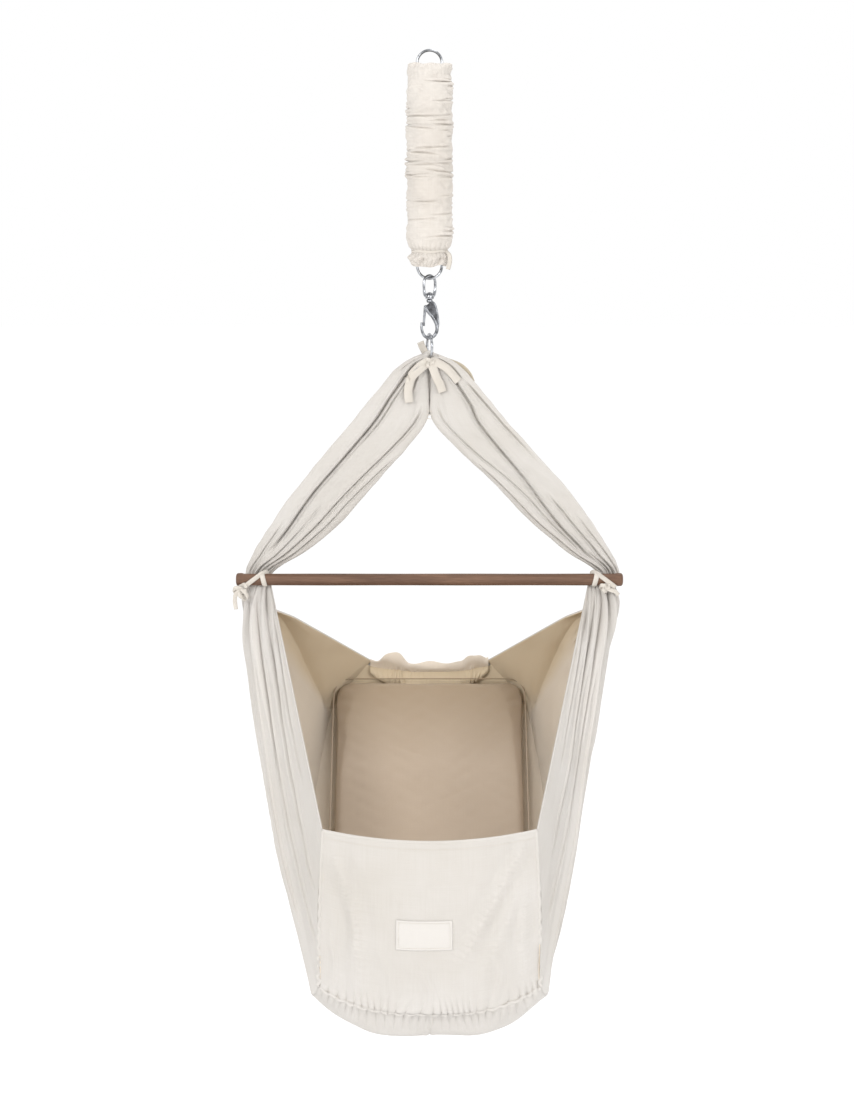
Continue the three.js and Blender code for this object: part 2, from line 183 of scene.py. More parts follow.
def cloth(name, colour, shade, thread=0.0011, relief=0.00022, crumple=0.0005, sheen=0.12, deep=None):
    """A plain-woven cloth, with colour in its lit threads and shade in its slubs and creases. A deep colour,
    painted shade, comes in past a slanting plane, given by its slope in y and z, its offset and how fast it
    comes in."""
    finish = Finish(name, Roughness=0.92, Sheen_Weight=sheen, Sheen_Roughness=0.6, Specular_IOR_Level=0.2)
    turns = 2 * math.pi / thread
    across = finish.node("ShaderNodeSeparateXYZ", i0=finish.place((turns, turns, 1), "UV"))
    over = across.sine() * across.output(1).sine()
    slub_warp = finish.noise(finish.place((900, 14, 1), "UV"), 1.0, 2.0)
    slub_weft = finish.noise(finish.place((14, 900, 1), "UV"), 1.0, 2.0)
    slubs = (slub_warp + slub_weft) * 0.5
    drift = finish.noise(finish.place((1, 1, 1)), 5.0, 3.0)
    crumples = finish.noise(finish.place((1, 1, 1)), 42.0, 4.0, 0.55, 0.6)
    tone = (drift * 0.55 + slubs * 0.45 + over * 0.06).clamp()
    woven = finish.blend((tone * 1.9 - 0.45).clamp(), shade, colour)
    # Painted shade: past the plane the woven colour blends to the darker deep colour.
    if deep:
        spot = finish.node("ShaderNodeSeparateXYZ", i0=finish.place((1, 1, 1)))
        painted_shade_colour, in_y, in_z, offset, gain = deep
        far = spot.output(1) * in_y + offset
        far = far + spot.output(2) * in_z
        woven = finish.blend((far * gain + 0.5).clamp(), woven, painted_shade_colour)
    finish.put(Base_Color=woven, Roughness=(0.84 + slubs * 0.2).clamp())
    height = over * relief + slubs * (relief * 2.2) + crumples * crumple
    finish.bump(height * 1000.0, MM, 0.75)
    return finish.material


CANVAS = cloth("canvas", rgb(213, 209, 205), rgb(195, 189, 180))
COVER_CANVAS = cloth("cover canvas", rgb(222, 217, 211), rgb(196, 187, 176), crumple=0.0007)
# The lining's deep colour is painted shade: it darkens the rear facets of the side walls, behind a plane
# slanting through the cradle, where the inside lies in shade.
LINING = cloth("beige lining", rgb(231, 219, 202), rgb(219, 205, 186), thread=0.0009, crumple=0.0004,
                deep=(rgb(217, 199, 170), 1.0, 1.02, 0.996, 24))
# The pad's deep colour is painted shade: it darkens the pad towards its head end, up under the rear rim.
PAD_CLOTH = cloth("pad cloth", rgb(200, 183, 164), rgb(187, 169, 149), thread=0.0008, crumple=0.0003,
                  deep=(rgb(163, 143, 118), 0.0, 1.0, 1.28, 7))
TAPE = cloth("twill tape", rgb(215, 209, 201), rgb(196, 188, 176), thread=0.0013, relief=0.0003)
# A darker copy of the twill tape: painted shade for the tape end that lies behind the bunch.
TAPE_PAINTED_SHADE = cloth("twill tape painted shade", rgb(212, 202, 182), rgb(190, 178, 156), thread=0.0013, relief=0.0003)
LABEL = cloth("label satin", rgb(212, 208, 203), rgb(205, 200, 194), thread=0.0005, relief=0.0001,
              crumple=0.0002, sheen=0.3)
# A lighter, warmer copy of the canvas for the rear ruffle: painted light, lifting it out of the shade it stands
# in.
RUFFLE_PAINTED_LIGHT = cloth("ruffle canvas painted light", rgb(240, 229, 214), rgb(224, 211, 194), crumple=0.0007)
THREAD = cloth("sewing thread", rgb(224, 217, 206), rgb(196, 187, 173), thread=0.0006, relief=0.0001)
print("cloth finishes", 9)

# %% [markdown]
# The rings and the hook are plated and polished. Real plating is never quite even: fine rubbing marks run
# round the wire, and the roughness drifts where hands and cloth have dulled it. The base colour also falls to a
# darker grey in large drifting patches: that is a painted reflection of a dark surround mirrored in the steel.

# %% Steel finishes


def steel(name, colour, rough, marks):
    finish = Finish(name, Metallic=1.0)
    dulling_and_reflection = finish.noise(finish.place((1, 1, 1)), 150.0, 4.0)
    rubbed = finish.noise(finish.place((900, 900, 60)), 1.0, 3.0)
    pitted = finish.noise(finish.place((1, 1, 1)), 700.0, 2.0)
    # Painted reflection: a darker copy of the colour, blended in by the same noise that drifts the roughness,
    # stands in for a dark surround mirrored in the steel.
    painted_reflection = tuple(c * 0.38 for c in colour[:3]) + (1.0,)
    finish.put(Base_Color=finish.blend((dulling_and_reflection * 4.0 - 1.4).clamp(), painted_reflection, colour),
               Roughness=(rough + dulling_and_reflection * 0.16 + rubbed * 0.08).clamp())
    finish.bump(rubbed * marks + pitted * marks, MM * 0.1, 0.5)
    return finish.material


POLISHED = steel("polished steel", rgb(188, 190, 194), 0.10, 0.5)
CAST = steel("cast hook steel", rgb(160, 162, 166), 0.18, 0.9)
# The hook's recessed web gets a darker copy of the cast steel: its colour is painted shade, its higher
# roughness is the web's own.
CAST_PAINTED_SHADE = steel("cast hook recess painted shade", rgb(112, 113, 116), 0.34, 1.2)
DRAWN = steel("drawn spring wire", rgb(168, 170, 172), 0.26, 0.8)

# %% [markdown]
# The bar is oiled walnut turned from one stick, so the grain runs its whole length. Stretched noise gives
# the grain, a second, much finer one gives the open pores, and the oil shows as patches of less roughness.

# %% Walnut


def walnut():
    finish = Finish("oiled walnut", Specular_IOR_Level=0.35)
    figure = finish.noise(finish.place((2.2, 46, 46)), 1.0, 4.0, 0.55, 1.2)
    grain = finish.noise(finish.place((9, 420, 420)), 1.0, 3.0, 0.6)
    pores = finish.noise(finish.place((60, 1500, 1500)), 1.0, 2.0)
    browns = [(0.25, rgb(66, 46, 35)), (0.45, rgb(97, 71, 55)), (0.62, rgb(118, 89, 70)),
              (0.8, rgb(136, 105, 83))]
    colour = finish.node("ShaderNodeValToRGB", stops=browns, Fac=(figure * 0.6 + grain * 0.4))
    deep = (1.6 - pores * 2.6).clamp()
    finish.put(Base_Color=finish.blend(deep * 0.4, colour, rgb(44, 29, 22)),
               Roughness=(0.42 + grain * 0.3).clamp())
    finish.bump(grain * 0.5 - deep * 0.6, MM * 0.25, 0.6)
    return finish.material


WALNUT = walnut()

# %% [markdown]
# Meshes are made from arrays of points. A grid of points becomes a skin; two skins a thread apart and a rim
# become a piece of cloth with an edge; a path and a section become a wire, a tape or a seam.

# %% Mesh helpers


def piece(name, points, faces, material, uv=None):
    mesh = bpy.data.meshes.new(name)
    mesh.from_pydata(np.asarray(points, float).tolist(), [], [list(map(int, face)) for face in faces])
    mesh.update()
    mesh.polygons.foreach_set("use_smooth", [True] * len(mesh.polygons))
    if uv is not None:
        layer = mesh.uv_layers.new(name="UVMap")
        corners = np.empty(len(mesh.loops), int)
        mesh.loops.foreach_get("vertex_index", corners)
        layer.data.foreach_set("uv", np.asarray(uv, float)[corners].ravel())
    mesh.materials.append(material)
    obj = bpy.data.objects.new(name, mesh)
    bpy.context.scene.collection.objects.link(obj)
    return obj


def unit(vectors):
    return vectors / np.maximum(np.linalg.norm(vectors, axis=-1, keepdims=True), 1e-12)


def grid_normals(grid, wrap=False):
    if wrap:
        padded = np.concatenate([grid[:, -1:], grid, grid[:, :1]], axis=1)
        across = (padded[:, 2:] - padded[:, :-2]) / 2
    else:
        across = np.gradient(grid, axis=1)
    return unit(np.cross(np.gradient(grid, axis=0), across))


def grid_faces(rows, columns, wrap=False, start=0):
    i, j = np.meshgrid(np.arange(rows - 1), np.arange(columns if wrap else columns - 1), indexing="ij")
    k = (j + 1) % columns
    a = start + i * columns + j
    b = start + i * columns + k
    return np.stack([a, a + columns, b + columns, b], axis=-1).reshape(-1, 4)


def lay_flat(grid):
    """UVs in metres: distance along the middle row and the middle column of the grid."""
    rows, columns = grid.shape[:2]
    middle_row = grid[rows // 2]
    middle_column = grid[:, columns // 2]
    x = np.concatenate([[0], np.cumsum(np.linalg.norm(np.diff(middle_row, axis=0), axis=1))])
    y = np.concatenate([[0], np.cumsum(np.linalg.norm(np.diff(middle_column, axis=0), axis=1))])
    return np.stack(np.meshgrid(x, y), axis=-1)


def cloth_piece(name, grid, material, thick=0.0012, wrap=False):
    """A skin of cloth given its own thickness and a closed rim."""
    rows, columns = grid.shape[:2]
    normal = grid_normals(grid, wrap) * thick / 2
    front = (grid + normal).reshape(-1, 3)
    back = (grid - normal).reshape(-1, 3)
    count = rows * columns
    faces = [grid_faces(rows, columns, wrap), grid_faces(rows, columns, wrap, count)[:, ::-1]]
    rim = []
    top = np.arange(columns)
    bottom = (rows - 1) * columns + top
    edges = [(top, False), (bottom, True)]
    if not wrap:
        left = np.arange(rows) * columns
        edges += [(left, True), (left + columns - 1, False)]
    for edge, flip in edges:
        chain = np.append(edge, edge[0]) if wrap else edge
        for a, b in zip(chain[:-1], chain[1:]):
            quad = [a, b, b + count, a + count]
            rim.append(quad[::-1] if flip else quad)
    uv = lay_flat(grid).reshape(-1, 2)
    return piece(name, np.concatenate([front, back]), np.concatenate(faces + [np.array(rim)]), material,
                 np.concatenate([uv, uv]))


class Curve:
    """A centripetal Catmull-Rom curve through points, asked for by numbers from 0 to 1."""

    def __init__(self, points):
        p = np.asarray(points, float)
        self.count = len(p)
        self.padded = np.vstack([2 * p[0] - p[1], p, 2 * p[-1] - p[-2]])

    def __call__(self, t):
        t = np.asarray(np.clip(t, 0, 1) * (self.count - 1), float)
        i = np.clip(t.astype(int), 0, self.count - 2)
        w = (t - i)[..., None]
        a, b, c, d = (self.padded[i + step] for step in range(4))

        def root(first, second):
            return np.maximum(np.sqrt(np.linalg.norm(second - first, axis=-1, keepdims=True)), 1e-6)

        d0, d1, d2 = root(a, b), root(b, c), root(c, d)
        m0 = ((b - a) / d0 - (c - a) / (d0 + d1) + (c - b) / d1) * d1
        m1 = ((c - b) / d1 - (d - b) / (d1 + d2) + (d - c) / d2) * d1
        return ((2 * w**3 - 3 * w**2 + 1) * b + (w**3 - 2 * w**2 + w) * m0
                + (3 * w**2 - 2 * w**3) * c + (w**3 - w**2) * m1)


def spline(points, count):
    """A number of points along the curve through points, spread evenly by point number."""
    return Curve(points)(np.linspace(0, 1, count))


def frames(path, side, closed=False):
    """Unit vectors at each point of a path: ahead, to the side nearest to side, and across both."""
    if closed:
        ahead = np.roll(path, -1, axis=0) - np.roll(path, 1, axis=0)
    else:
        ahead = np.gradient(path, axis=0)
    ahead = unit(ahead)
    side = np.broadcast_to(np.asarray(side, float), path.shape)
    side = unit(side - ahead * np.sum(side * ahead, axis=1, keepdims=True))
    return ahead, side, np.cross(ahead, side)


def sweep(name, path, half_side, half_up, side, material, sides=16, closed=False, square=2.0):
    """A rounded section carried along a path. half_side is measured along side, half_up across it."""
    path = np.asarray(path, float)
    n = len(path)
    half_side = np.broadcast_to(half_side, n)
    half_up = np.broadcast_to(half_up, n)
    _, s, up = frames(path, side, closed)
    angle = np.linspace(0, 2 * math.pi, sides, endpoint=False)
    cos, sin = np.cos(angle), np.sin(angle)
    cs = np.sign(cos) * np.abs(cos) ** (2 / square)
    sn = np.sign(sin) * np.abs(sin) ** (2 / square)
    grid = (path[:, None] + s[:, None] * (cs * half_side[:, None])[..., None]
            + up[:, None] * (sn * half_up[:, None])[..., None])
    along = np.concatenate([[0], np.cumsum(np.linalg.norm(np.diff(path, axis=0), axis=1))])
    girth = np.cumsum(np.linalg.norm(np.diff(grid[n // 2], axis=0, append=grid[n // 2][:1]), axis=1))
    uv = np.stack(np.meshgrid(girth, along), axis=-1).reshape(-1, 2)
    faces = grid_faces(n, sides, True)
    points = grid.reshape(-1, 3)
    if closed:
        j = np.arange(sides)
        k = (j + 1) % sides
        last = (n - 1) * sides
        faces = np.concatenate([faces, np.stack([last + j, j, k, last + k], axis=-1)])
        return piece(name, points, faces[:, ::-1], material, uv)
    caps = []
    extra = []
    extra_uv = []
    for end, centre in ((0, path[0]), (n - 1, path[-1])):
        index = len(points) + len(extra)
        extra.append(centre)
        extra_uv.append(uv[end * sides])
        for j in range(sides):
            a = end * sides + j
            b = end * sides + (j + 1) % sides
            caps.append([index, a, b] if end == 0 else [index, b, a])
    points = np.vstack([points, extra])
    uv = np.vstack([uv, extra_uv])
    return piece(name, points, [list(f[::-1]) for f in faces] + [c[::-1] for c in caps], material, uv)


def soft(values, seed):
    """A smooth, repeatable wander between about -1 and 1, for values in any number of dimensions."""
    random = np.random.default_rng(seed)
    total = 0
    weight = 0
    for _ in range(7):
        direction = [random.uniform(1.0, 4.0) * random.choice([-1, 1]) for _ in values]
        phase = random.uniform(0, 2 * math.pi)
        size = random.uniform(0.5, 1)
        total = total + size * np.sin(sum(d * v for d, v in zip(direction, values)) + phase)
        weight += size**2 / 2
    return total / math.sqrt(weight) / 1.8


def finish_piece(obj, body, slot, *nodes):
    """What a shown piece says to the frame: its body, and the CAD nodes that it stands for. Its slot is not
    used.
    """
    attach(obj, body)
    if nodes:
        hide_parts(*nodes)
    return obj


def stitches(name, path, pitch, length, thick, zigzag=0.0, out=(0, -1, 0)):
    """A row of stitches along a path, each a short raised thread."""
    path = np.asarray(path, float)
    run = np.concatenate([[0], np.cumsum(np.linalg.norm(np.diff(path, axis=0), axis=1))])
    where = np.arange(pitch / 2, run[-1], pitch)
    centres = np.stack([np.interp(where, run, path[:, k]) for k in range(3)], axis=1)
    ahead = np.gradient(path, axis=0)
    tangents = unit(np.stack([np.interp(where, run, ahead[:, k]) for k in range(3)], axis=1))
    across = unit(np.cross(tangents, np.broadcast_to(out, tangents.shape)))
    up = np.cross(across, tangents)
    points, faces, uv = [], [], []
    profile = [(-0.5, 0.15), (-0.3, 0.9), (0, 1), (0.3, 0.9), (0.5, 0.15)]
    sides = 6
    for number, (c, t, a, u) in enumerate(zip(centres, tangents, across, up)):
        turn = zigzag * (1 if number % 2 else -1)
        t2 = t * math.cos(turn) + a * math.sin(turn)
        a2 = a * math.cos(turn) - t * math.sin(turn)
        start = len(points)
        for at, wide in profile:
            for k in range(sides):
                angle = k * 2 * math.pi / sides
                round_thread = a2 * math.cos(angle) + u * math.sin(angle)
                points.append(c + t2 * at * length + round_thread * thick * wide)
                uv.append((at * length, k * thick))
        for f in grid_faces(len(profile), sides, True, start):
            faces.append(list(f[::-1]))
        faces.append([start + k for k in range(sides)])
        faces.append([len(points) - 1 - k for k in range(sides)])
    return finish_piece(piece(name, points, faces, THREAD, uv), "hammock", "canvas")


# %% [markdown]
# The camera stands five metres off with a long lens, at the height of the sleeve, and looks down a little
# on to the bar. The light is soft and even: a white surround, a pale floor and three big panels.

# %% Camera, stage and light
AIM = Vector((-0.00465, 0, -0.9209))
STAND = 5.0
PITCH = math.radians(8)
camera_data = bpy.data.cameras.new("camera")
camera_data.sensor_width = 36
camera_data.lens = 87.2
camera = bpy.data.objects.new("camera", camera_data)
camera.location = AIM + Vector((0, -STAND * math.cos(PITCH), STAND * math.sin(PITCH)))
camera.rotation_euler = (AIM - camera.location).to_track_quat("-Z", "Y").to_euler()
bpy.context.scene.collection.objects.link(camera)
bpy.context.scene.camera = camera

bpy.context.scene.view_settings.view_transform = "Standard"
world = bpy.data.worlds.new("tent")
world.use_nodes = True
world.node_tree.nodes["Background"].inputs["Color"].default_value = (1, 1, 1, 1)
world.node_tree.nodes["Background"].inputs["Strength"].default_value = 1.0
bpy.context.scene.world = world

FLOOR_Z = -2.15
floor_finish = Finish("pale floor", Roughness=0.9, Emission_Strength=0.12)
floor_finish.shader.inputs["Base Color"].default_value = (0.9, 0.9, 0.9, 1)
floor_finish.shader.inputs["Emission Color"].default_value = (1, 1, 1, 1)
floor = piece("floor", [(-30, -30, FLOOR_Z), (30, -30, FLOOR_Z), (30, 30, FLOOR_Z), (-30, 30, FLOOR_Z)],
              [(0, 1, 2, 3)], floor_finish.material)


def panel(name, where, size, power, aim):
    data = bpy.data.lights.new(name, "AREA")
    data.shape = "RECTANGLE"
    data.size, data.size_y = size
    data.energy = power
    light = bpy.data.objects.new(name, data)
    light.location = where
    light.rotation_euler = (Vector(aim) - Vector(where)).to_track_quat("-Z", "Y").to_euler()
    bpy.context.scene.collection.objects.link(light)


panel("key", (-1.7, -3.2, 0.7), (1.0, 1.0), 54, (0, 0, -1.1))
panel("fill", (2.1, -3.1, 0.1), (1.3, 1.3), 35, (0, 0, -1.2))
panel("top", (0.7, 0.5, 2.6), (1.4, 1.4), 26, (0, 0, -1.4))
print("camera stands", round(STAND, 2), "m off")

# %% [markdown]
# Two welded rings carry the load, one at each end of the spring, and a third gathers the cloth. Each is
# a bent wire with its ends butt-welded and polished, which leaves a slight fullness at the weld.

# %% Rings
RING_R = 0.0225
RING_WIRE = 0.0025


def centre(node):
    """The middle of a CAD node's box."""
    low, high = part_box(node)
    return (low + high) / 2


CEILING_Z, LOWER_Z, HAMMOCK_Z = (centre(name).z for name in ("ceiling_ring", "lower_ring", "hammock_ring"))
WELD_FULLNESS, WELD_REACH = 0.07, 0.06


def wire_ring(name, centre_z, turn, body, weld_at):
    angle = np.linspace(0, 2 * math.pi, 120, endpoint=False)
    flat = np.stack([np.cos(angle) * RING_R, np.zeros_like(angle), np.sin(angle) * RING_R], axis=1)
    spin = np.array([[math.cos(turn), -math.sin(turn), 0], [math.sin(turn), math.cos(turn), 0], [0, 0, 1]])
    path = flat @ spin.T + (0, 0, centre_z)
    apart = np.abs((angle - weld_at + math.pi) % (2 * math.pi) - math.pi)
    wire = RING_WIRE * (1 + WELD_FULLNESS * np.exp(-(apart / WELD_REACH) ** 2))
    side = spin @ np.array([0, 1, 0])
    ring = sweep(name + "_wire", path, wire, wire, side, POLISHED, 20, closed=True)
    return finish_piece(ring, body, "polished_steel", name)


RING_TURN = math.pi / 2 + 0.2
for ring_name, z, turn, ring_body, weld in (
    ("ceiling_ring", CEILING_Z, 0, "ceiling", 3.0),
    ("lower_ring", LOWER_Z, 0, "spring_foot", 0.4),
    ("hammock_ring", HAMMOCK_Z, RING_TURN, "ring", 5.9),
):
    wire_ring(ring_name, z, turn, ring_body, weld)
    print(ring_name, "at", round(z, 4))

# %% [markdown]
# The extension spring is close-wound wire with a raised loop at each end. It lengthens when the hammock is
# loaded. The coil, the strap inside it and the sleeve over it are built where they hang, with their
# transforms baked in, and are attached to neither body.

# %% Coil spring
TOP_WIRE_Z = CEILING_Z - RING_R
LOW_WIRE_Z = LOWER_Z + RING_R
COIL_TOP, COIL_TURNS, COIL_PITCH, COIL_R = TOP_WIRE_Z - 0.0555, 49, 0.00425, 0.019
COIL_LOW = COIL_TOP - COIL_TURNS * COIL_PITCH
LOOP_R = 0.014
LOOP_REACH = 0.0051


def stretch(obj, slot, *nodes):
    """A piece that lengthens with the spring: its transform is baked into its mesh and the CAD nodes that it
    stands for are hidden.
    """
    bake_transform(obj)
    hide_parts(*nodes)


def spring_loop(sign, centre_z, coil_z):
    turns = math.pi * (1.35 - np.linspace(0, 1, 22) * 1.6)
    loop = [(0, LOOP_R * math.cos(a), centre_z + sign * LOOP_R * math.sin(a)) for a in turns]
    neck = centre_z - sign * (LOOP_R + 0.003)
    return [(-0.017, -0.001, (neck + coil_z) / 2), (-0.008, -0.004, neck)] + loop


turns = np.linspace(0, COIL_TURNS, COIL_TURNS * 28)
round_coil = math.pi + 2 * math.pi * turns
coil_z = COIL_TOP - COIL_PITCH * turns
coil = np.stack([COIL_R * np.cos(round_coil), COIL_R * np.sin(round_coil), coil_z], axis=1)
upper = spline(spring_loop(1, TOP_WIRE_Z + LOOP_REACH - LOOP_R, COIL_TOP)[::-1] + [coil[0]], 90)
lower = spline([coil[-1]] + spring_loop(-1, LOW_WIRE_Z - LOOP_REACH + LOOP_R, COIL_LOW), 90)
coil_path = np.vstack([upper[:-1], coil, lower[1:]])
coil_wire = sweep("spring_wire", coil_path, 0.002, 0.002, (0.02, 0.03, 1), DRAWN, 8)
stretch(coil_wire, "spring_steel", "coil_spring")
print("spring wire", round(float(np.linalg.norm(np.diff(coil_path, axis=0), axis=1).sum()), 2), "m")

# %% [markdown]
# A slack webbing strap inside the coil is the real hammock's second line of safety. Its spare length lies
# in folds, which open as the spring stretches.

# %% Safety strap


def strap_path():
    """One closed loop of webbing, over the upper ring's wire and under the lower one's, with slack."""
    folds = 20
    over, under = TOP_WIRE_Z + 0.0081, LOW_WIRE_Z - 0.0089
    down = [((0.0055 if i % 2 == 0 else -0.0055), COIL_TOP + i * (COIL_LOW - COIL_TOP) / folds)
            for i in range(folds + 1)]
    points = [(0, over), (0.0054, over), (0.0054, over - 0.0256), (0.0038, over - 0.0496)]
    points += [(y + 0.0038, z) for y, z in down]
    points += [(0.0038, under + 0.0514), (0.0038, under + 0.0234), (0.0038, under), (-0.0038, under),
               (-0.0038, under + 0.0234), (-0.0038, under + 0.0514)]
    points += [(y - 0.0038, z) for y, z in down[::-1]]
    points += [(-0.0038, over - 0.0496), (-0.0054, over - 0.0256), (-0.0054, over)]
    return [(0.0068, y, z) for y, z in points]


strap = sweep("safety_strap_webbing", spline(strap_path(), 700), 0.004, 0.0006, (1, 0, 0), TAPE, 12,
              closed=True, square=4)
stretch(strap, "tape", "safety_strap")

# %% [markdown]
# The sleeve is a tube of canvas longer than the spring it hides, so it stands in many small gathers across
# its length, and its ends are drawn in round the two rings with a frill beyond. Slack cloth on a tube
# doesn't ripple evenly: it stays smooth for a while, then buckles in short, sharp creases that run part of
# the way round. Each crease is a valley with a roll of cloth above and below it.

# %% Spring cover
COVER_ROWS, COVER_COLUMNS = 760, 190
COVER_LIFT = TOP_WIRE_Z + 0.0425
COVER_PROFILE = [(-34, 22.5), (-27, 27), (-22, 33.5), (-23, 38.4), (-30, 40), (-40, 38.6), (-47, 39.5),
                 (-70, 41.5), (-110, 40.5), (-150, 41.5), (-190, 41), (-230, 41.5), (-270, 40.5), (-310, 41.5),
                 (-338, 41), (-350, 37.5), (-356, 32.5), (-359.5, 30.6), (-363, 32), (-370, 36), (-378, 35),
                 (-386, 31)]
CREASE_HEIGHTS = [-62, -84, -104, -118, -128, -140, -152, -176, -196, -204, -216, -226, -262, -276, -296,
                  -322, -336]
CREASES = 84


def cover_creases(t, theta):
    """Short creases round the sleeve, crowded at CREASE_HEIGHTS: radius to add, in mm."""
    chance = np.random.default_rng(12)
    creases = np.zeros_like(theta)
    for number in range(CREASES):
        middle = CREASE_HEIGHTS[number % len(CREASE_HEIGHTS)] + chance.normal(0, 5)
        at, reach = chance.uniform(0, 2 * math.pi), chance.uniform(0.3, 1.05)
        slope, bow, deep = chance.normal(0, 2.6), chance.normal(0, 1.6), chance.uniform(1.6, 4.4)
        turn = (theta - at + math.pi) % (2 * math.pi) - math.pi
        along = np.clip(1 - (turn / reach) ** 2, 0, 1)
        off = t - middle - slope * turn - bow * turn * turn
        creases += along * deep * (0.55 * np.exp(-((np.abs(off) - 3.6) / 2.6) ** 2)
                                   - np.exp(-np.abs(off) ** 1.3))
    return creases


def cover_grid():
    z, radius = Curve(COVER_PROFILE)(np.linspace(0, 1, COVER_ROWS)).T
    t, theta = np.meshgrid(z, np.linspace(0, 2 * math.pi, COVER_COLUMNS, endpoint=False), indexing="ij")
    radius = radius[:, None] * np.ones_like(theta)
    body = np.clip((-t - 26) / 14, 0, 1) * np.clip((t + 352) / 12, 0, 1)
    ring_x, ring_y = np.cos(theta), np.sin(theta)
    wander = 2.6 * soft([ring_x * 1.2, ring_y * 1.2, t / 55], 3)
    wander = wander + 0.9 * soft([ring_x * 3, ring_y * 3, t / 16], 4)
    ripple = 0.5 * np.sin(t / 1.9 + wander) * (0.4 + soft([ring_x * 2, ring_y * 2, t / 24], 5) ** 2)
    sag = 1.5 * soft([ring_x * 1.5, ring_y * 1.5, t / 22], 6) + 0.8 * soft([ring_x * 3, ring_y * 3, t / 9], 10)
    radius += body * np.clip(cover_creases(t, theta) + ripple + sag - 0.4, -6.5, 4.5)
    pleats = np.abs(np.sin(theta * 13 + 0.8 * soft([theta, t / 20], 7))) ** 0.7 - 0.6
    drawn = np.exp(-((t + 356) / 13.0) ** 2) + 0.5 * np.exp(-((t + 40) / 6.0) ** 2)
    frill = np.clip((-363 - t) / 10, 0, 1) + 0.7 * np.clip((t + 36) / 8, 0, 1)
    puffs = soft([np.cos(theta) * 3.4, np.sin(theta) * 3.4, t / 9], 8)
    radius += drawn * pleats * 2.4 + frill * (pleats * 2.6 + 3.4 * puffs)
    lip = np.clip((t + 34) / 10, 0, 1) * 1.6 * soft([theta * 2.0], 13)
    uneven = np.clip((-366 - t) / 18, 0, 1) * 3.0 * soft([theta * 1.5], 9)
    points = np.stack([radius * ring_x, radius * ring_y, t + lip + uneven], axis=-1)
    return points * MM + (0, 0, COVER_LIFT)


cover = cloth_piece("spring_cover_cloth", cover_grid()[::-1], COVER_CANVAS, 0.0010, wrap=True)
stretch(cover, "cover_canvas", "spring_cover")
TIE_R = 0.0325
tie_angle = np.linspace(0, 2 * math.pi, 90, endpoint=False)
tie_ring = np.stack([TIE_R * np.cos(tie_angle), TIE_R * np.sin(tie_angle),
                     LOW_WIRE_Z + 0.005 + 0.0006 * np.sin(tie_angle * 5)], axis=1)
tie = sweep("cover_draw_tape", tie_ring, 0.0028, 0.0009, (0, 0, 1), TAPE, 10, closed=True, square=4)
stretch(tie, "tape", "cover_tie")
tie_tail = sweep("cover_tape_end", spline([(0.030, -0.014, -0.3590), (0.036, -0.024, -0.366),
                                           (0.037, -0.028, -0.378), (0.0335, -0.029, -0.392)], 30),
                 0.0042, 0.0007, (1, 0.3, 0.1), TAPE, 10, square=4)
stretch(tie_tail, "tape")
print("cover vertices", len(cover.data.vertices))

# %% [markdown]
# The snap hook has four working parts. An eye hangs in the lower ring, the hook turns in the eye's boss on
# a riveted shank, and a sprung gate on a cross pin closes its mouth.

# %% Swivel eye and hook
EYE_TURN = 0.7
HOOK_LIFT = centre("gate_pin").z + 0.464
HOOK_AXIS = (0, 0, HOOK_LIFT)
eye_side = (-math.sin(EYE_TURN), math.cos(EYE_TURN), 0)


def turned(points, turn):
    p = np.asarray(points, float) * MM + (0, 0, HOOK_LIFT)
    c, s = math.cos(turn), math.sin(turn)
    return np.stack([p[:, 0] * c - p[:, 1] * s, p[:, 0] * s + p[:, 1] * c, p[:, 2]], axis=1)


arc = np.linspace(0, math.pi, 13)
eye_points = [(13.5 * math.cos(a), 0, -417.7 + 13.5 * math.sin(a)) for a in arc]
eye_points += [(-13.5, 0, -426), (-12.2, 0, -435), (-8, 0, -441.5), (0, 0, -443), (8, 0, -441.5),
               (12.2, 0, -435), (13.5, 0, -426)]
eye_points.append(eye_points[0])
eye_path = turned(spline(eye_points, 141)[:-1], EYE_TURN)
low = np.clip((-0.430 - eye_path[:, 2]) / 0.010, 0, 1)
eye_wire = sweep("swivel_eye_loop", eye_path, 0.0025 + 0.0018 * low, 0.0025 + 0.0004 * low, eye_side,
                 POLISHED, 20, closed=True)
finish_piece(eye_wire, "swivel", "polished_steel", "swivel_eye")


def lathe(name, profile, axis_point, axis, material, steps=48):
    """A turned shape: profile is (radius, height) pairs in mm, measured along axis from axis_point."""
    axis = np.asarray(axis, float)
    first = np.cross(axis, (0.3, 0.9, 0.2))
    first /= np.linalg.norm(first)
    second = np.cross(axis, first)
    angle = np.linspace(0, 2 * math.pi, steps, endpoint=False)
    ring = np.cos(angle)[:, None] * first + np.sin(angle)[:, None] * second
    profile = np.asarray(profile, float) * MM
    grid = np.asarray(axis_point) + axis * profile[:, 1][:, None, None] + ring * profile[:, 0][:, None, None]
    faces = grid_faces(len(profile), steps, True)
    radius, height = profile.T
    run = np.concatenate([[0], np.cumsum(np.hypot(np.diff(radius), np.diff(height)))])
    girth = np.broadcast_to(angle * max(radius.max(), 1e-4), (len(profile), steps))
    uv = np.stack([girth, np.broadcast_to(run[:, None], girth.shape)], axis=-1).reshape(-1, 2)
    obj = piece(name, grid.reshape(-1, 3), faces, material, uv)
    obj.modifiers.new("weld", "WELD").merge_threshold = 1e-6
    return obj


boss = lathe("swivel_boss", [(3.4, -438.9), (7.2, -438.9), (8, -440), (8.2, -443), (8, -446), (7, -447),
                             (3.4, -447), (3.4, -438.9)], HOOK_AXIS, (0, 0, 1), POLISHED)
finish_piece(boss, "swivel", "polished_steel")
rivet = lathe("swivel_rivet_head", [(0.01, -434.6), (2.6, -434.9), (4.6, -436), (5.6, -437.4),
                                    (5.4, -438.6), (0.01, -438.6)], HOOK_AXIS, (0, 0, 1), CAST)
finish_piece(rivet, "hook", "polished_steel", "swivel_rivet")

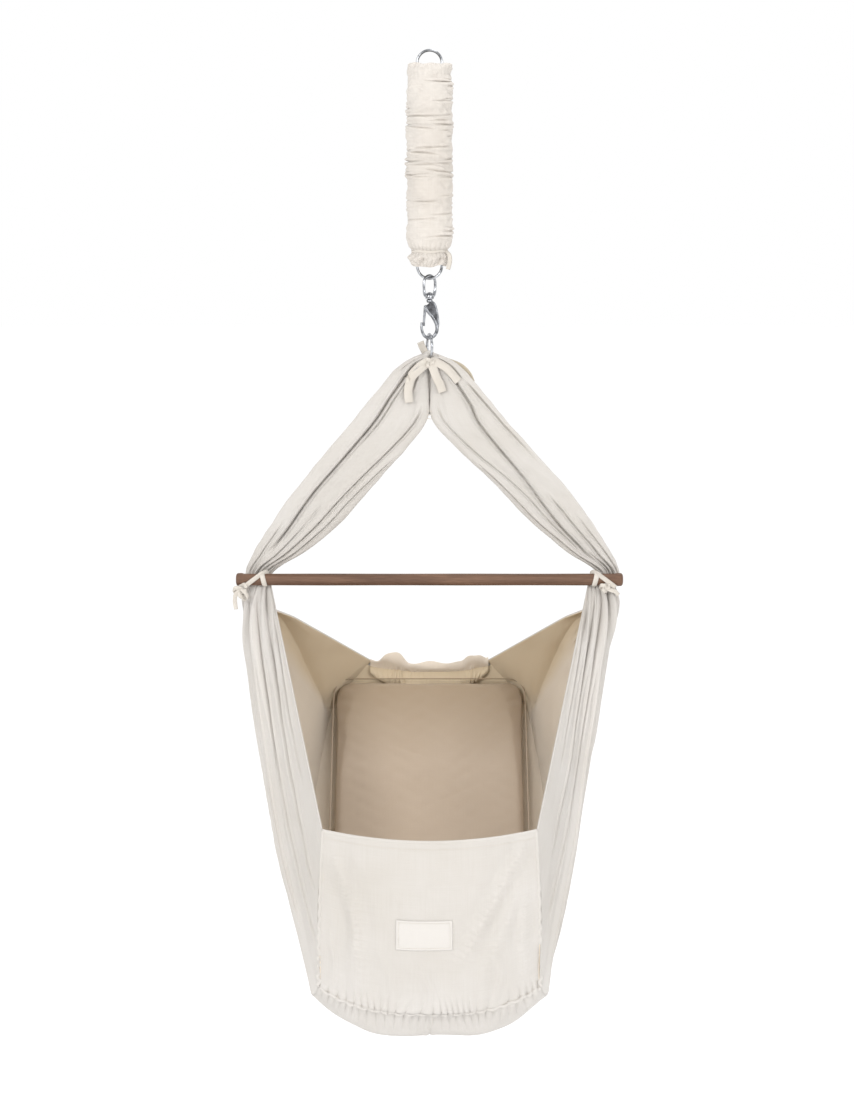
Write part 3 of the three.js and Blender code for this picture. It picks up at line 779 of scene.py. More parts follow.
HOOK_RIM = [(-8.4, -458.5), (-6.6, -463.0), (-1.5, -471.5), (4.8, -478.5), (9.6, -486.5), (13.2, -496),
            (13.4, -505.5), (8.4, -514.6), (-0.5, -518.6), (-8.4, -515.4), (-13.0, -508), (-14.6, -499),
            (-14.6, -490)]
HOOK_BACK = [(3.0, -451.5), (8.6, -456.0), (12.6, -467.0), (15.0, -480.0), (16.0, -494.0), (13.6, -505.0)]
rim_half = [2.2, 2.8, 3.0, 3.0, 3.0, 3.0, 3.2, 3.0, 2.9, 2.8, 2.6, 2.4, 1.8]
rim_deep = [3.6, 4.0, 4.2, 4.2, 4.0, 4.0, 4.0, 3.8, 3.6, 3.5, 3.3, 3.0, 2.4]
hook_line = spline([(x, 0, z) for x, z in HOOK_RIM], 120) * MM + HOOK_AXIS
hook_at = np.linspace(0, len(HOOK_RIM) - 1, 120)
rim_points = range(len(HOOK_RIM))
hook_piece = sweep("snap_hook", hook_line, np.interp(hook_at, rim_points, rim_deep) * MM,
                   np.interp(hook_at, rim_points, rim_half) * MM, (0, 1, 0), CAST, 24, square=2.5)
finish_piece(hook_piece, "hook", "polished_steel", "hook_body")
back_line = spline([(x, 0, z) for x, z in HOOK_BACK], 80) * MM + HOOK_AXIS
back_rib = sweep("hook_back", back_line, np.linspace(3.9, 3.4, 80) * MM, np.linspace(2.6, 1.8, 80) * MM,
                 (0, 1, 0), CAST, 24, square=2.5)
finish_piece(back_rib, "hook", "polished_steel")
web_inner, web_outer = hook_line[4:58], back_line[np.linspace(0, 74, 54).astype(int)]
web_grid = web_inner[:, None] + (web_outer - web_inner)[:, None] * np.linspace(0, 1, 12)[:, None]
# The web's darker steel is painted shade for the recess between the rim and the back rib.
web = cloth_piece("hook_web", web_grid, CAST_PAINTED_SHADE, 0.0046)
finish_piece(web, "hook", "polished_steel")
shank = lathe("hook_shank", [(0.01, -439), (3, -439.2), (3, -447.4), (5.4, -448.2), (5.8, -450.5),
                             (4.6, -453.5), (0.01, -454)], HOOK_AXIS, (0, 0, 1), CAST)
finish_piece(shank, "hook", "polished_steel")
GATE_POINTS = [(-8.0, 0, -461.5), (-8.6, 0, -470), (-9.6, 0, -480), (-10.4, 0, -490), (-10.3, 0, -496.5)]
gate_line = spline(GATE_POINTS, 50) * MM + HOOK_AXIS
gate = sweep("gate_arm", gate_line, np.linspace(2.4, 2.1, 50) * MM, np.linspace(2.7, 1.9, 50) * MM, (0, 1, 0),
             CAST, 20, square=2.6)
finish_piece(gate, "gate", "polished_steel", "gate_lever")
pin = lathe("gate_cross_pin", [(0.01, -4.9), (1.5, -4.8), (2.0, -4.5), (2.0, -4.1), (1.4, -4.0), (1.4, 4.0),
                               (2.0, 4.1), (2.0, 4.5), (1.5, 4.8), (0.01, 4.9)],
            tuple(centre("gate_pin")), (0, 1, 0), POLISHED, 24)
finish_piece(pin, "hook", "polished_steel", "gate_pin")
print("hook's middle line reaches down to", round(float(hook_line[:, 2].min()), 4))

# %% [markdown]
# The spreader bar keeps the two arms of cloth apart. It is one turned stick with slightly fuller ends,
# chamfered so that they don't catch the cloth.

# %% Spreader bar
BAR_Z = centre("spreader_bar").z
BAR_HALF = (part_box("spreader_bar")[1].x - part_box("spreader_bar")[0].x) / 2
CLOTH_LIFT = BAR_Z + 0.968


def bar():
    tip = -BAR_HALF / MM
    end = [(0.01, tip), (7, tip + 0.1), (10.6, tip + 1.3), (12.1, tip + 4), (12.2, tip + 10.5),
           (11.6, tip + 13.1), (11, tip + 15.5)]
    middle = [(11 + 0.15 * math.sin(x / 40), x) for x in np.linspace(-330, 330, 60)]
    other = [(r, -x) for r, x in end[::-1]]
    return end + middle + other


bar_piece = lathe("walnut_bar", bar(), (0, 0, BAR_Z), (1, 0, 0), WALNUT, 64)
finish_piece(bar_piece, "hammock", "walnut", "spreader_bar")
print("bar length", round(2 * BAR_HALF, 3))

# %% [markdown]
# The hammock is one long cloth. Above the bar each end is folded into a thick, flat bundle that runs to the
# ring. A bundle of loose folds could be simulated, but its long creases are what the eye follows, so they
# are laid in one by one: each is a sharp valley with a soft shoulder, at a stated place across the width.

# %% Arms


def crease_field(v, u, width, creases):
    """Depth of a set of creases in metres. Each is (places of v along u, depth, half width), in mm."""
    total = np.zeros_like(v)
    for places, depth, half in creases:
        at_u, at_v = np.array(places, float).T
        middle = np.interp(u, at_u, at_v)
        inside = np.clip((u - at_u[0]) / 0.07, 0, 1) * np.clip((at_u[-1] - u) / 0.09, 0, 1)
        inside = inside * inside * (3 - 2 * inside)
        away = (v - middle) * width / MM
        valley = -depth * np.exp(-(np.abs(away) / half) ** 1.15)
        shoulder = 0.42 * depth * np.exp(-((away - 2.6 * half) / (1.9 * half)) ** 2)
        lip = 0.5 * depth * np.exp(-((away + 2.1 * half) / (1.2 * half)) ** 2)
        total += inside * (valley + shoulder + lip)
    return total * MM


ARM_OUTER = Curve([(9, 1, -546), (26, 1, -552), (50, 1, -565), (74, 1, -588), (111, 1, -633), (148, 2, -678),
                   (204, 5, -745), (241, 8, -790), (274, 11, -834), (304, 16, -879), (331, 21, -924),
                   (343, 25, -953), (346, 26, -986)])
ARM_INNER = Curve([(4, 1, -560), (3, 1, -568), (2.5, 1, -580), (2, 1, -598), (1.5, 1, -622), (2, 2, -664),
                   (42, 5, -722), (76, 8, -761), (116, 11, -806), (160, 16, -858), (228, 21, -916),
                   (292, 25, -957), (304, 26, -986)])
LEFT_CREASES = [
    ([(0.10, 0.55), (0.30, 0.64), (0.45, 0.70), (0.62, 0.73), (0.84, 0.70)], 13, 2.4),
    ([(0.26, 0.52), (0.38, 0.60), (0.50, 0.66)], 6, 1.8),
    ([(0.36, 0.10), (0.52, 0.22), (0.72, 0.32), (0.96, 0.40)], 8, 1.8),
    ([(0.52, 0.04), (0.70, 0.16), (0.97, 0.24)], 6, 1.5),
    ([(0.66, 0.50), (0.80, 0.52), (1.0, 0.55)], 7, 1.6),
    ([(0.05, 0.30), (0.18, 0.34), (0.34, 0.30)], 5, 1.8),
    ([(0.70, 0.86), (0.86, 0.84), (1.0, 0.80)], 5, 1.5),
    ([(0.0, 0.75), (0.12, 0.80), (0.26, 0.88)], 4, 1.6),
]
RIGHT_CREASES = [
    ([(0.06, 0.40), (0.22, 0.56), (0.36, 0.62), (0.52, 0.56), (0.68, 0.46), (0.88, 0.42)], 12, 2.3),
    ([(0.24, 0.80), (0.38, 0.90), (0.52, 0.95)], 8, 1.9),
    ([(0.34, 0.10), (0.50, 0.20), (0.66, 0.32), (0.86, 0.36)], 5, 1.7),
    ([(0.54, 0.06), (0.74, 0.12), (0.97, 0.22)], 6, 1.5),
    ([(0.62, 0.66), (0.80, 0.70), (1.0, 0.66)], 7, 1.7),
    ([(0.68, 0.84), (0.84, 0.88), (1.0, 0.84)], 5, 1.4),
    ([(0.04, 0.66), (0.16, 0.74), (0.30, 0.78)], 5, 1.7),
    ([(0.78, 0.52), (0.90, 0.54), (1.0, 0.52)], 6, 1.4),
]
ARM_ROWS, ARM_COLUMNS = 420, 260


def arm_grid(side, front_creases, seed):
    u = np.linspace(0, 1, ARM_ROWS)
    outer = ARM_OUTER(u) * MM
    inner = ARM_INNER(u) * MM
    if side > 0:
        outer[:, 0] += np.interp(u, [0, 0.42, 0.6, 0.8, 0.93, 1], [0, 0, 9, 10, 12, 4]) * MM
        inner[:, 0] += np.interp(u, [0, 0.42, 0.6, 0.8, 0.93, 1], [0, 0, 17, 27, 20, 4]) * MM
    phi = np.linspace(0, 2 * math.pi, ARM_COLUMNS, endpoint=False)
    across = np.sign(np.cos(phi)) * np.abs(np.cos(phi)) ** 0.85
    through = np.sign(np.sin(phi)) * np.abs(np.sin(phi)) ** 0.62
    uu = np.repeat(u[:, None], ARM_COLUMNS, axis=1)
    v = 0.5 + 0.5 * across[None, :] * np.ones_like(uu)
    width = np.linalg.norm(outer - inner, axis=1)[:, None] * np.ones_like(uu)
    half = np.interp(u, [0, 0.04, 0.12, 0.35, 0.6, 0.85, 1.0], [6, 9, 12, 12.5, 12.5, 11, 9])[:, None] * MM
    face = np.abs(through)[None, :]
    front = crease_field(v, uu, width, front_creases) * (through > 0)[None, :]
    back = crease_field(1 - v, uu, width, front_creases[::-1]) * (through < 0)[None, :]
    lines = np.sin(v * (24 + 8 * uu) + 2.4 * soft([v * 2, uu * 5], seed)) * 0.5
    gather = np.clip((uu - 0.72) / 0.28, 0, 1) + np.clip((0.12 - uu) / 0.12, 0, 1)
    tight = (np.abs(np.sin(v * 17 + 1.5 * soft([v * 3, uu * 7], seed + 1))) ** 0.7 - 0.6) * 3.4 * gather
    rumple = 0.9 * soft([v * 5, uu * 11], seed + 2) + 0.45 * soft([v * 13, uu * 34], seed + 3)
    depth = half * through[None, :] + np.sign(through)[None, :] * (
        face * (front + back + (lines + tight + rumple) * MM))
    place = inner[:, None] + (outer - inner)[:, None] * v[..., None]
    edge = (0.8 * soft([uu * 15, v], seed + 4) + 0.5 * soft([uu * 40, v], seed + 5)) * MM * (1 - face)
    place[..., 0] += edge
    place[..., 1] -= depth
    place[..., 0] *= side
    place[..., 2] += CLOTH_LIFT
    return place if side < 0 else place[:, ::-1]


for name, side, creases, seed in (("left", -1, LEFT_CREASES, 20), ("right", 1, RIGHT_CREASES, 40)):
    grid = arm_grid(side, creases, seed)
    arm = piece(f"{name}_arm_folds", grid.reshape(-1, 3), grid_faces(*grid.shape[:2], True), CANVAS,
                lay_flat(grid).reshape(-1, 2))
    finish_piece(arm, "hammock", "canvas", f"{name}_arm_cloth")
    print(name, "arm", arm.dimensions)

# %% [markdown]
# Where the two arms meet, the folded cloth goes through the ring and over its lower wire. Below the ring a
# fold of the same cloth lies behind the two inner edges, and three bar tacks catch them together.

# %% Cloth bunch in the ring
bunch_u = np.linspace(0, 1, 90)
bunch_line = Curve([(-26, 2, -580), (-15, 1, -566), (-8.5, 0, -553.5), (0, 0, -547.5), (8.5, 0, -553.5),
                    (15, 1, -566), (26, 2, -580)])(bunch_u) * MM
bunch_phi = np.linspace(0, 2 * math.pi, 120, endpoint=False)
_, bunch_side, bunch_up = frames(bunch_line, (-math.sin(0.2), math.cos(0.2), 0))
pleat = (np.abs(np.sin(bunch_phi * 7 + 0.5)) ** 0.6 - 0.6)[None, :] * 1.3
pleat = pleat + 0.6 * soft([bunch_u[:, None] * 9, bunch_phi[None, :]], 60)
wide = np.interp(bunch_u, [0, 0.3, 0.5, 0.7, 1], [13, 11.5, 10.5, 11.5, 13])[:, None] + pleat
deep = np.interp(bunch_u, [0, 0.3, 0.5, 0.7, 1], [9, 6, 5.4, 6, 9])[:, None] + pleat
bunch_grid = (bunch_line[:, None] + bunch_side[:, None] * (wide * np.cos(bunch_phi))[..., None] * MM
              + bunch_up[:, None] * (deep * np.sin(bunch_phi))[..., None] * MM)
bunch = piece("apex_bunch", bunch_grid.reshape(-1, 3), grid_faces(90, 120, True)[:, ::-1], CANVAS,
              lay_flat(bunch_grid).reshape(-1, 2))
finish_piece(bunch, "hammock", "canvas", "apex_cloth")
fold_v, fold_u = np.meshgrid(np.linspace(0, 1, 60), np.linspace(-1, 1, 40), indexing="ij")
inner_fold = np.stack([fold_u * (16 - 3 * fold_v), 3 + 5 * fold_u**2 + 1.6 * np.sin(fold_u * 7 + fold_v * 3),
                       -560 - 100 * fold_v + 5 * np.abs(fold_u)], axis=-1) * MM
fold_piece = cloth_piece("apex_inner_fold", inner_fold, CANVAS, 0.0014)
finish_piece(fold_piece, "hammock", "canvas")
for number, z in enumerate((-0.652, -0.659, -0.666)):
    tack = np.array([(-0.004, -0.0105, z), (0.004, -0.0105, z - 0.0012)])
    stitches(f"bar_tack_{number}", spline(tack, 6), 0.0019, 0.0024, 0.0006, zigzag=1.1)

# %% [markdown]
# Twill tapes tie the cloth into the ring and hold each bunch to the bar. A tape is modelled as the flat
# strip it is, swept along its own path, so it bends on its flat and shows its edge where it turns.

# %% Tapes and knots
TAPE_POINTS = 44
HALF_TAPE = 0.0007


def tape(name, points, width, side, material=TAPE, curl=0.0):
    """A flat tape along a path in mm. side is the way its width lies, and curl turns it from end to end."""
    line = spline(points, TAPE_POINTS) * MM
    turn = np.linspace(-curl, curl, TAPE_POINTS)
    _, s, up = frames(line, side)
    lie = s * np.cos(turn)[:, None] + up * np.sin(turn)[:, None]
    strip = sweep(name, line, width * MM / 2, HALF_TAPE, lie, material, 12, square=5)
    return finish_piece(strip, "hammock", "tape")


def knot(name, middle, size, seed, turn=0.0):
    """A small pulled-tight knot: one tape wound through itself."""
    t = np.linspace(0, 2 * math.pi, 90, endpoint=False)
    x = (np.sin(t) + 1.7 * np.sin(2 * t)) * 0.36
    z = (np.cos(t) - 1.7 * np.cos(2 * t)) * 0.36
    y = -np.sin(3 * t) * 0.42
    c, s = math.cos(turn), math.sin(turn)
    line = np.stack([x * c - z * s, y, x * s + z * c], axis=1) * np.array(size) * MM
    line += np.array(middle) * MM
    thick = 0.0024 + 0.0005 * np.sin(t * 5 + seed)
    lump = sweep(name, line, 0.0040, thick, (0.3, 0.2, 1), TAPE, 12, closed=True, square=3)
    return finish_piece(lump, "hammock", "tape")


apex_left = tape("apex_tape_left_tail", [(-6, -13, -565), (-20, -16, -577), (-33, -19, -590),
                                         (-38, -21, -606), (-39, -20.5, -622), (-37, -19, -636)],
                 16, (1, 0, 0.12))
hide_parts("apex_tape_left")
tape("apex_tape_left_fold", [(-5, -15, -561), (-16, -15.5, -567), (-34, -16, -584), (-44, -15, -600)], 15,
     (0.5, -0.1, 0.8))
apex_right = tape("apex_tape_right_tail", [(2, -13, -562), (7, -17, -574), (13, -20, -590), (20, -19, -604),
                                           (24, -17, -617)], 16, (1, 0, 0.3))
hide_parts("apex_tape_right")
tape("apex_tape_right_fold", [(-2, -12, -557), (14, -16, -563), (30, -18, -572), (44, -16, -586),
                              (53, -14, -598)], 15, (0.45, 0, 0.9))
# This tape end lies behind the bunch; its darker copy of the tape is painted shade.
apex_back = tape("apex_tape_back_tail", [(14, 9, -556), (38, 12, -564), (58, 13, -573), (71, 11, -586),
                                         (78, 8, -601)], 13, (0.55, -0.2, 0.75), TAPE_PAINTED_SHADE)
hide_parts("apex_tape_back")
tape("apex_tape_up", [(-2, 9, -556), (-9, 10, -544), (-14, 9, -534), (-17, 7, -526)], 13, (1, 0.2, 0.4))
knot("apex_knot", (0, -13, -562), (9, 7, 8), 1)

LOOP_X, LOOP_LEAN, LOOP_ROUND = 309, 3.0, 12.2
loop_turn = np.linspace(0, 2 * math.pi, 60, endpoint=False)
for name, side in (("left", -1), ("right", 1)):
    z = BAR_Z / MM
    loop_line = np.stack([side * (LOOP_X + LOOP_LEAN * np.sin(loop_turn)), LOOP_ROUND * np.cos(loop_turn),
                          z + LOOP_ROUND * np.sin(loop_turn)], axis=1) * MM
    loop = sweep(f"{name}_bar_loop", loop_line, 0.0046, 0.0007, (1, 0, 0), TAPE, 12, closed=True, square=5)
    finish_piece(loop, "hammock", "tape", f"{name}_bar_tie")
    tape(f"{name}_bar_cross_tape", [(side * 300, 11, z + 10), (side * 304, 4, z + 13.6),
                                    (side * 312, -6, z + 12), (side * 324, -12.6, z + 4),
                                    (side * 336, -13.2, z - 5), (side * 346, -11, z - 13)],
         8.5, (side * 0.35, 0, 1))

left_knot = knot("left_bar_tie_knot", (-351, -12, -987), (13, 8, 13), 2, 0.4)
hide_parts("left_bar_knot")
left_tail = tape("left_bar_tie_tail", [(-352, -14, -985), (-360, -16, -993), (-362, -15, -1006),
                                       (-360, -14, -1022)], 8, (1, 0.2, 0), curl=0.3)
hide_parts("left_bar_tail")
tape("left_bar_tie_bow", [(-350, -14, -984), (-342, -20, -990), (-338, -19, -1000), (-343, -15, -1004),
                          (-350, -14, -996)], 8, (0.4, 0.6, 0.6))
right_knot = knot("right_bar_tie_knot", (326, -13, -981), (9, 7, 7), 3, 0.1)
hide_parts("right_bar_knot")
right_tail = tape("right_bar_tie_tail", [(327, -15, -980), (336, -16, -985), (346, -13, -989), (352, -8, -996)],
                  8, (0.1, 0.2, 1), curl=0.2)
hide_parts("right_bar_tail")
print("tapes and knots tied")

# %% [markdown]
# Each side wall hangs from its bunch at the bar and spreads to the front panel's corner, the edge of the
# base and the rear rim. Cloth that leaves a gather spreads in pleats that are deep at the gather and run
# out lower down. They follow the lines of hang, so they are laid in along those lines.

# %% Side walls and lining
WALL_BUNCH = Curve([(300, 15, 3), (310, 13.5, 3), (335, 14, 3), (344, 24, 3), (318, 36, 3)])
WALL_TOP = Curve([(288, 0, -52), (318, -7, -42), (344, 6, -41), (340, 24, -41), (312, 34, -44)])
WALL_EDGE = Curve([(191, -301, -404), (199, -307, -550), (199, -303, -690), (212, -262, -718),
                   (228, -100, -654), (232, 10, -574), (226, 140, -471), (213, 240, -381), (190, 314, -300),
                   (119, 350, -216)])
WALL_SWELL = {-1: 24, 1: 8}
WALL_ROWS, WALL_COLUMNS = 230, 330
LEFT_FOLDS = [
    ([(0.0, 0.13), (0.30, 0.12), (0.60, 0.11), (0.98, 0.10)], 7, 4.0),
    ([(0.0, 0.30), (0.25, 0.25), (0.50, 0.20), (0.99, 0.16)], 9, 4.2),
    ([(0.0, 0.42), (0.30, 0.36), (0.86, 0.27)], 9, 4.0),
    ([(0.0, 0.52), (0.30, 0.46), (0.70, 0.42), (0.95, 0.41)], 13, 3.6),
    ([(0.0, 0.60), (0.22, 0.57), (0.50, 0.55)], 8, 3.0),
    ([(0.0, 0.72), (0.35, 0.70), (0.70, 0.70)], 8, 3.2),
    ([(0.0, 0.84), (0.30, 0.83), (0.50, 0.84)], 7, 3.0),
    ([(0.06, 0.045), (0.30, 0.05), (0.72, 0.055)], 4, 3.0),
]
RIGHT_FOLDS = [
    ([(0.0, 0.16), (0.30, 0.14), (0.55, 0.13), (0.84, 0.12)], 9, 2.8),
    ([(0.0, 0.28), (0.30, 0.24), (0.90, 0.18)], 9, 4.2),
    ([(0.0, 0.40), (0.25, 0.36), (0.55, 0.33), (0.95, 0.31)], 13, 3.4),
    ([(0.0, 0.50), (0.30, 0.47), (0.60, 0.45)], 11, 3.0),
    ([(0.0, 0.62), (0.30, 0.60), (0.75, 0.60)], 9, 3.2),
    ([(0.0, 0.75), (0.30, 0.74), (0.60, 0.75)], 8, 3.0),
    ([(0.0, 0.88), (0.26, 0.88), (0.45, 0.88)], 6, 2.8),
    ([(0.05, 0.055), (0.26, 0.06), (0.66, 0.06)], 4, 3.0),
]


def wall_base(side):
    """The smooth hang of one wall: rows run down from the bunch, columns run from front to back."""
    u = np.linspace(0, 1, WALL_COLUMNS)
    bunch, top, edge = WALL_BUNCH(u), WALL_TOP(u), WALL_EDGE(u)
    swell = WALL_SWELL[side] * np.sin(math.pi * u)[:, None] * np.array([1.0, 0, 0])
    one = top + (edge - top) * 0.30 + swell * 0.81
    two = top + (edge - top) * 0.66 + swell * 0.88
    v = np.linspace(0, 1, WALL_ROWS)
    v = v * (0.55 + 0.45 * v)
    at = np.interp(v, [0, 0.06, 0.34, 0.68, 1.0], np.linspace(0, 1, 5))
    grid = np.empty((WALL_ROWS, WALL_COLUMNS, 3))
    for column in range(WALL_COLUMNS):
        grid[:, column] = Curve([bunch[column], top[column], one[column], two[column], edge[column]])(at)
    grid[..., 2] += BAR_Z / MM
    grid[..., 0] *= side
    return grid * MM, v, u


def wall_grid(side, folds, seed, inset=0.0, strength=1.0):
    grid, v, u = wall_base(side)
    vv, uu = np.meshgrid(v, u, indexing="ij")
    span = np.linalg.norm(np.diff(grid, axis=1), axis=2).sum(axis=1)[:, None] * np.ones_like(vv)
    normal = grid_normals(grid)
    outward = np.sign(normal[len(v) // 2, len(u) // 2, 0]) * side
    normal = normal * outward
    depth = crease_field(uu, vv, span, folds)
    fading = np.clip(1 - vv * 1.15, 0, 1)
    gather = np.clip(1 - vv / 0.30, 0, 1) ** 1.4
    pleats = (np.abs(np.sin(uu * 29 + 1.2 * soft([uu * 3, vv * 4], seed))) ** 0.7 - 0.6) * 6.0 * gather
    ripple = np.sin(uu * 44 + 2.2 * soft([uu * 3, vv * 3], seed + 1)) * 1.5 * fading
    rumple = 2.2 * soft([uu * 5, vv * 4], seed + 2) + 0.8 * soft([uu * 16, vv * 12], seed + 3)
    calm = np.clip(uu / 0.03, 0, 1) * np.clip((1 - uu) / 0.03, 0, 1) * np.clip((1 - vv) / 0.05, 0, 1)
    corner = 0.985 - 0.115 * vv
    corner_crease = 13.5 * np.exp(-np.abs((uu - corner) * span / MM) / 15) * np.clip((vv - 0.03) / 0.2, 0, 1)
    shift = depth / MM + pleats + ripple + (rumple + corner_crease) * np.clip(vv * 5, 0, 1)
    shift = shift * calm * strength
    grid = grid + normal * ((shift - inset) * MM)[..., None]
    return grid, outward


for name, side, folds, seed in (("left", -1, LEFT_FOLDS, 80), ("right", 1, RIGHT_FOLDS, 90)):
    grid, outward = wall_grid(side, folds, seed)
    wall = cloth_piece(f"{name}_wall_cloth", grid if outward > 0 else grid[:, ::-1], CANVAS, 0.0014)
    finish_piece(wall, "hammock", "canvas", f"{name}_wall")
    inner, _ = wall_grid(side, folds, seed, inset=2.6, strength=0.96)
    inner = inner[10:, 4:]
    lining = cloth_piece(f"{name}_lining_cloth", inner[:, ::-1] if outward > 0 else inner, LINING, 0.0012)
    finish_piece(lining, "hammock", "lining", f"{name}_lining")
    hem = spline(grid[2:, 0], 200)
    hem_roll = sweep(f"{name}_front_hem", hem, 0.0026, 0.0013, (0, 1, 0.5), CANVAS, 12)
    finish_piece(hem_roll, "hammock", "canvas")
    top_line = grid[4:, -1]
    top_roll = sweep(f"{name}_top_hem", top_line, 0.0024, 0.0013, (0, 1, 0.5), CANVAS, 12)
    finish_piece(top_roll, "hammock", "canvas")
    hem_row = grid[16:-2, 7] + np.array([0, -0.0012, 0])
    stitches(f"{name}_hem_stitches", hem_row, 0.0036, 0.0026, 0.00033)
    print(name, "wall spans", [round(v, 3) for v in wall.dimensions])

# %% [markdown]
# The front panel is a separate cloth, sewn between the two walls. It is hemmed along the top, a little
# slack, and drawn in along its lower seam, so soft wrinkles run from its corners and small puckers stand
# along the seams.

# %% Front panel
PANEL_ROWS, PANEL_COLUMNS = 230, 300
PANEL_WIDE, PANEL_TALL = 390, 315
# A wrinkle's start, bend and end, each (place across, place down), and its depth and half width in mm.
WRINKLES = [
    ((0.95, 0.05), (0.80, 0.34), (0.62, 0.72), 5.4, 12),
    ((0.93, 0.22), (0.86, 0.46), (0.74, 0.80), 3.6, 11),
    ((0.04, 0.10), (0.15, 0.40), (0.19, 0.86), 5.2, 13),
    ((0.10, 0.30), (0.16, 0.55), (0.12, 0.80), 2.6, 7),
    ((0.26, 0.62), (0.32, 0.80), (0.34, 0.98), 1.8, 11),
    ((0.70, 0.58), (0.66, 0.78), (0.68, 0.98), 1.8, 11),
    ((0.95, 0.30), (0.92, 0.60), (0.95, 0.92), 3.6, 9),
    ((0.44, 0.70), (0.50, 0.86), (0.49, 1.0), 1.8, 6),
    ((0.78, 0.62), (0.82, 0.80), (0.78, 0.99), 2.4, 6),
    ((0.05, 0.60), (0.07, 0.80), (0.04, 0.99), 2.6, 5),
]
WRINKLE_STEPS = 24


def panel_point(u, v):
    across = 2 * u - 1
    flat = 1 - across**2
    half_width = 190.5 + 17 * v - 8.5 * v * v
    belly = 15 * np.sin(math.pi * v)
    y = -303 - 32 * flat - belly * (0.35 + 0.65 * flat)
    top = -405 - 13.5 * flat
    bottom = -690 - 41 * (1 - np.abs(across) ** 3)
    return across * half_width, y, BAR_Z / MM + top + (bottom - top) * v


def panel_wrinkles(u, v):
    """How far the wrinkles stand out at each place of the panel, in mm."""
    total = np.zeros_like(u)
    for start, bend, end, depth, half in WRINKLES:
        gap = np.full(u.shape, 1e9)
        along = np.zeros_like(u)
        for k, (at_u, at_v) in enumerate(spline([start, bend, end], WRINKLE_STEPS)):
            away = np.hypot((u - at_u) * PANEL_WIDE, (v - at_v) * PANEL_TALL)
            along = np.where(away < gap, k / (WRINKLE_STEPS - 1), along)
            gap = np.minimum(gap, away)
        fade = np.sin(math.pi * np.clip(along, 0.03, 0.97)) ** 0.6
        total += depth * fade * (np.exp(-(gap / half) ** 2) - 0.45 * np.exp(-((gap - 1.8 * half) / half) ** 2))
    return total


def panel_grid(inset=0.0, strength=1.0):
    v, u = np.meshgrid(np.linspace(0, 1, PANEL_ROWS), np.linspace(0, 1, PANEL_COLUMNS), indexing="ij")
    x, y, z = panel_point(u, v)
    across = 2 * u - 1
    low = np.clip((v - 0.84) / 0.16, 0, 1)
    edge = np.clip((np.abs(across) - 0.93) / 0.07, 0, 1)
    pucker = low**2 * (np.abs(np.sin(u * 84 + 2.2 * soft([u * 5, v * 3], 101))) ** 0.7 - 0.6) * 5.6
    side_pucker = np.abs(np.sin(v * 52 + 1.6 * soft([v * 7, across], 102))) ** 0.7 - 0.5
    pucker += edge**2 * side_pucker * (0.6 + 2.6 * v**2)
    slack = 1.6 * soft([u * 4, v * 4], 103) + 0.5 * soft([u * 14, v * 12], 104)
    hem = -0.7 * np.clip(1 - v / 0.035, 0, 1)
    y = y - (panel_wrinkles(u, v) + pucker + slack * np.clip(v * 8, 0, 1) + hem) * strength + inset
    y = y + 20 * np.maximum(low - 0.9, 0)
    return np.stack([x, y, z], axis=-1) * MM


panel_cloth = cloth_piece("front_panel_cloth", panel_grid()[:, ::-1], CANVAS, 0.0014)
finish_piece(panel_cloth, "hammock", "canvas", "front_panel")
panel_lining = cloth_piece("front_lining_cloth", panel_grid(2.8, 0.9)[3:-2, 3:-3], LINING, 0.0012)
finish_piece(panel_lining, "hammock", "lining", "front_lining")
front = panel_grid()
top_hem = sweep("front_top_hem", front[0], 0.0030, 0.0014, (0, 0.2, 1), CANVAS, 12)
finish_piece(top_hem, "hammock", "canvas")
stitches("front_hem_stitches", front[9] + (0, -0.0011, 0), 0.0036, 0.0026, 0.00033)
for name, column, side in (("left", 1, -1), ("right", -2, 1)):
    seam_line = front[:, column] + np.array([0, -0.0006, 0])
    n = len(seam_line)
    wobble = np.sin(np.linspace(0, 1, n) ** 1.6 * 70 + side) * np.linspace(0.1, 1, n) ** 2 * 0.0022
    seam_line = seam_line + np.stack([wobble, wobble * 0.4, np.zeros(n)], axis=1)
    seam = sweep(f"{name}_panel_seam", seam_line, 0.0030, 0.0016, (1, 0, 0), CANVAS, 12)
    finish_piece(seam, "hammock", "canvas")
    stitches(f"{name}_seam_stitches", seam_line + (-side * 0.0046, -0.0010, 0), 0.0040, 0.0028, 0.00034)
print("front panel", [round(v, 3) for v in panel_cloth.dimensions])

# %% [markdown]
# The base runs from the foot of the front panel up to the rear rim and closes the cradle below. It is
# gathered on to the panel's lower seam, and a row of stitches marks the seam up its middle.

# %% Base
BASE_MIDDLE = Curve([(0, -326, -733), (0, -284, -788), (0, -120, -690), (0, 0, -599), (0, 130, -497),
                     (0, 235, -403), (0, 322, -313), (0, 353, -243)])
BASE_EDGE_START = 2 / 9
BASE_HALF = 215


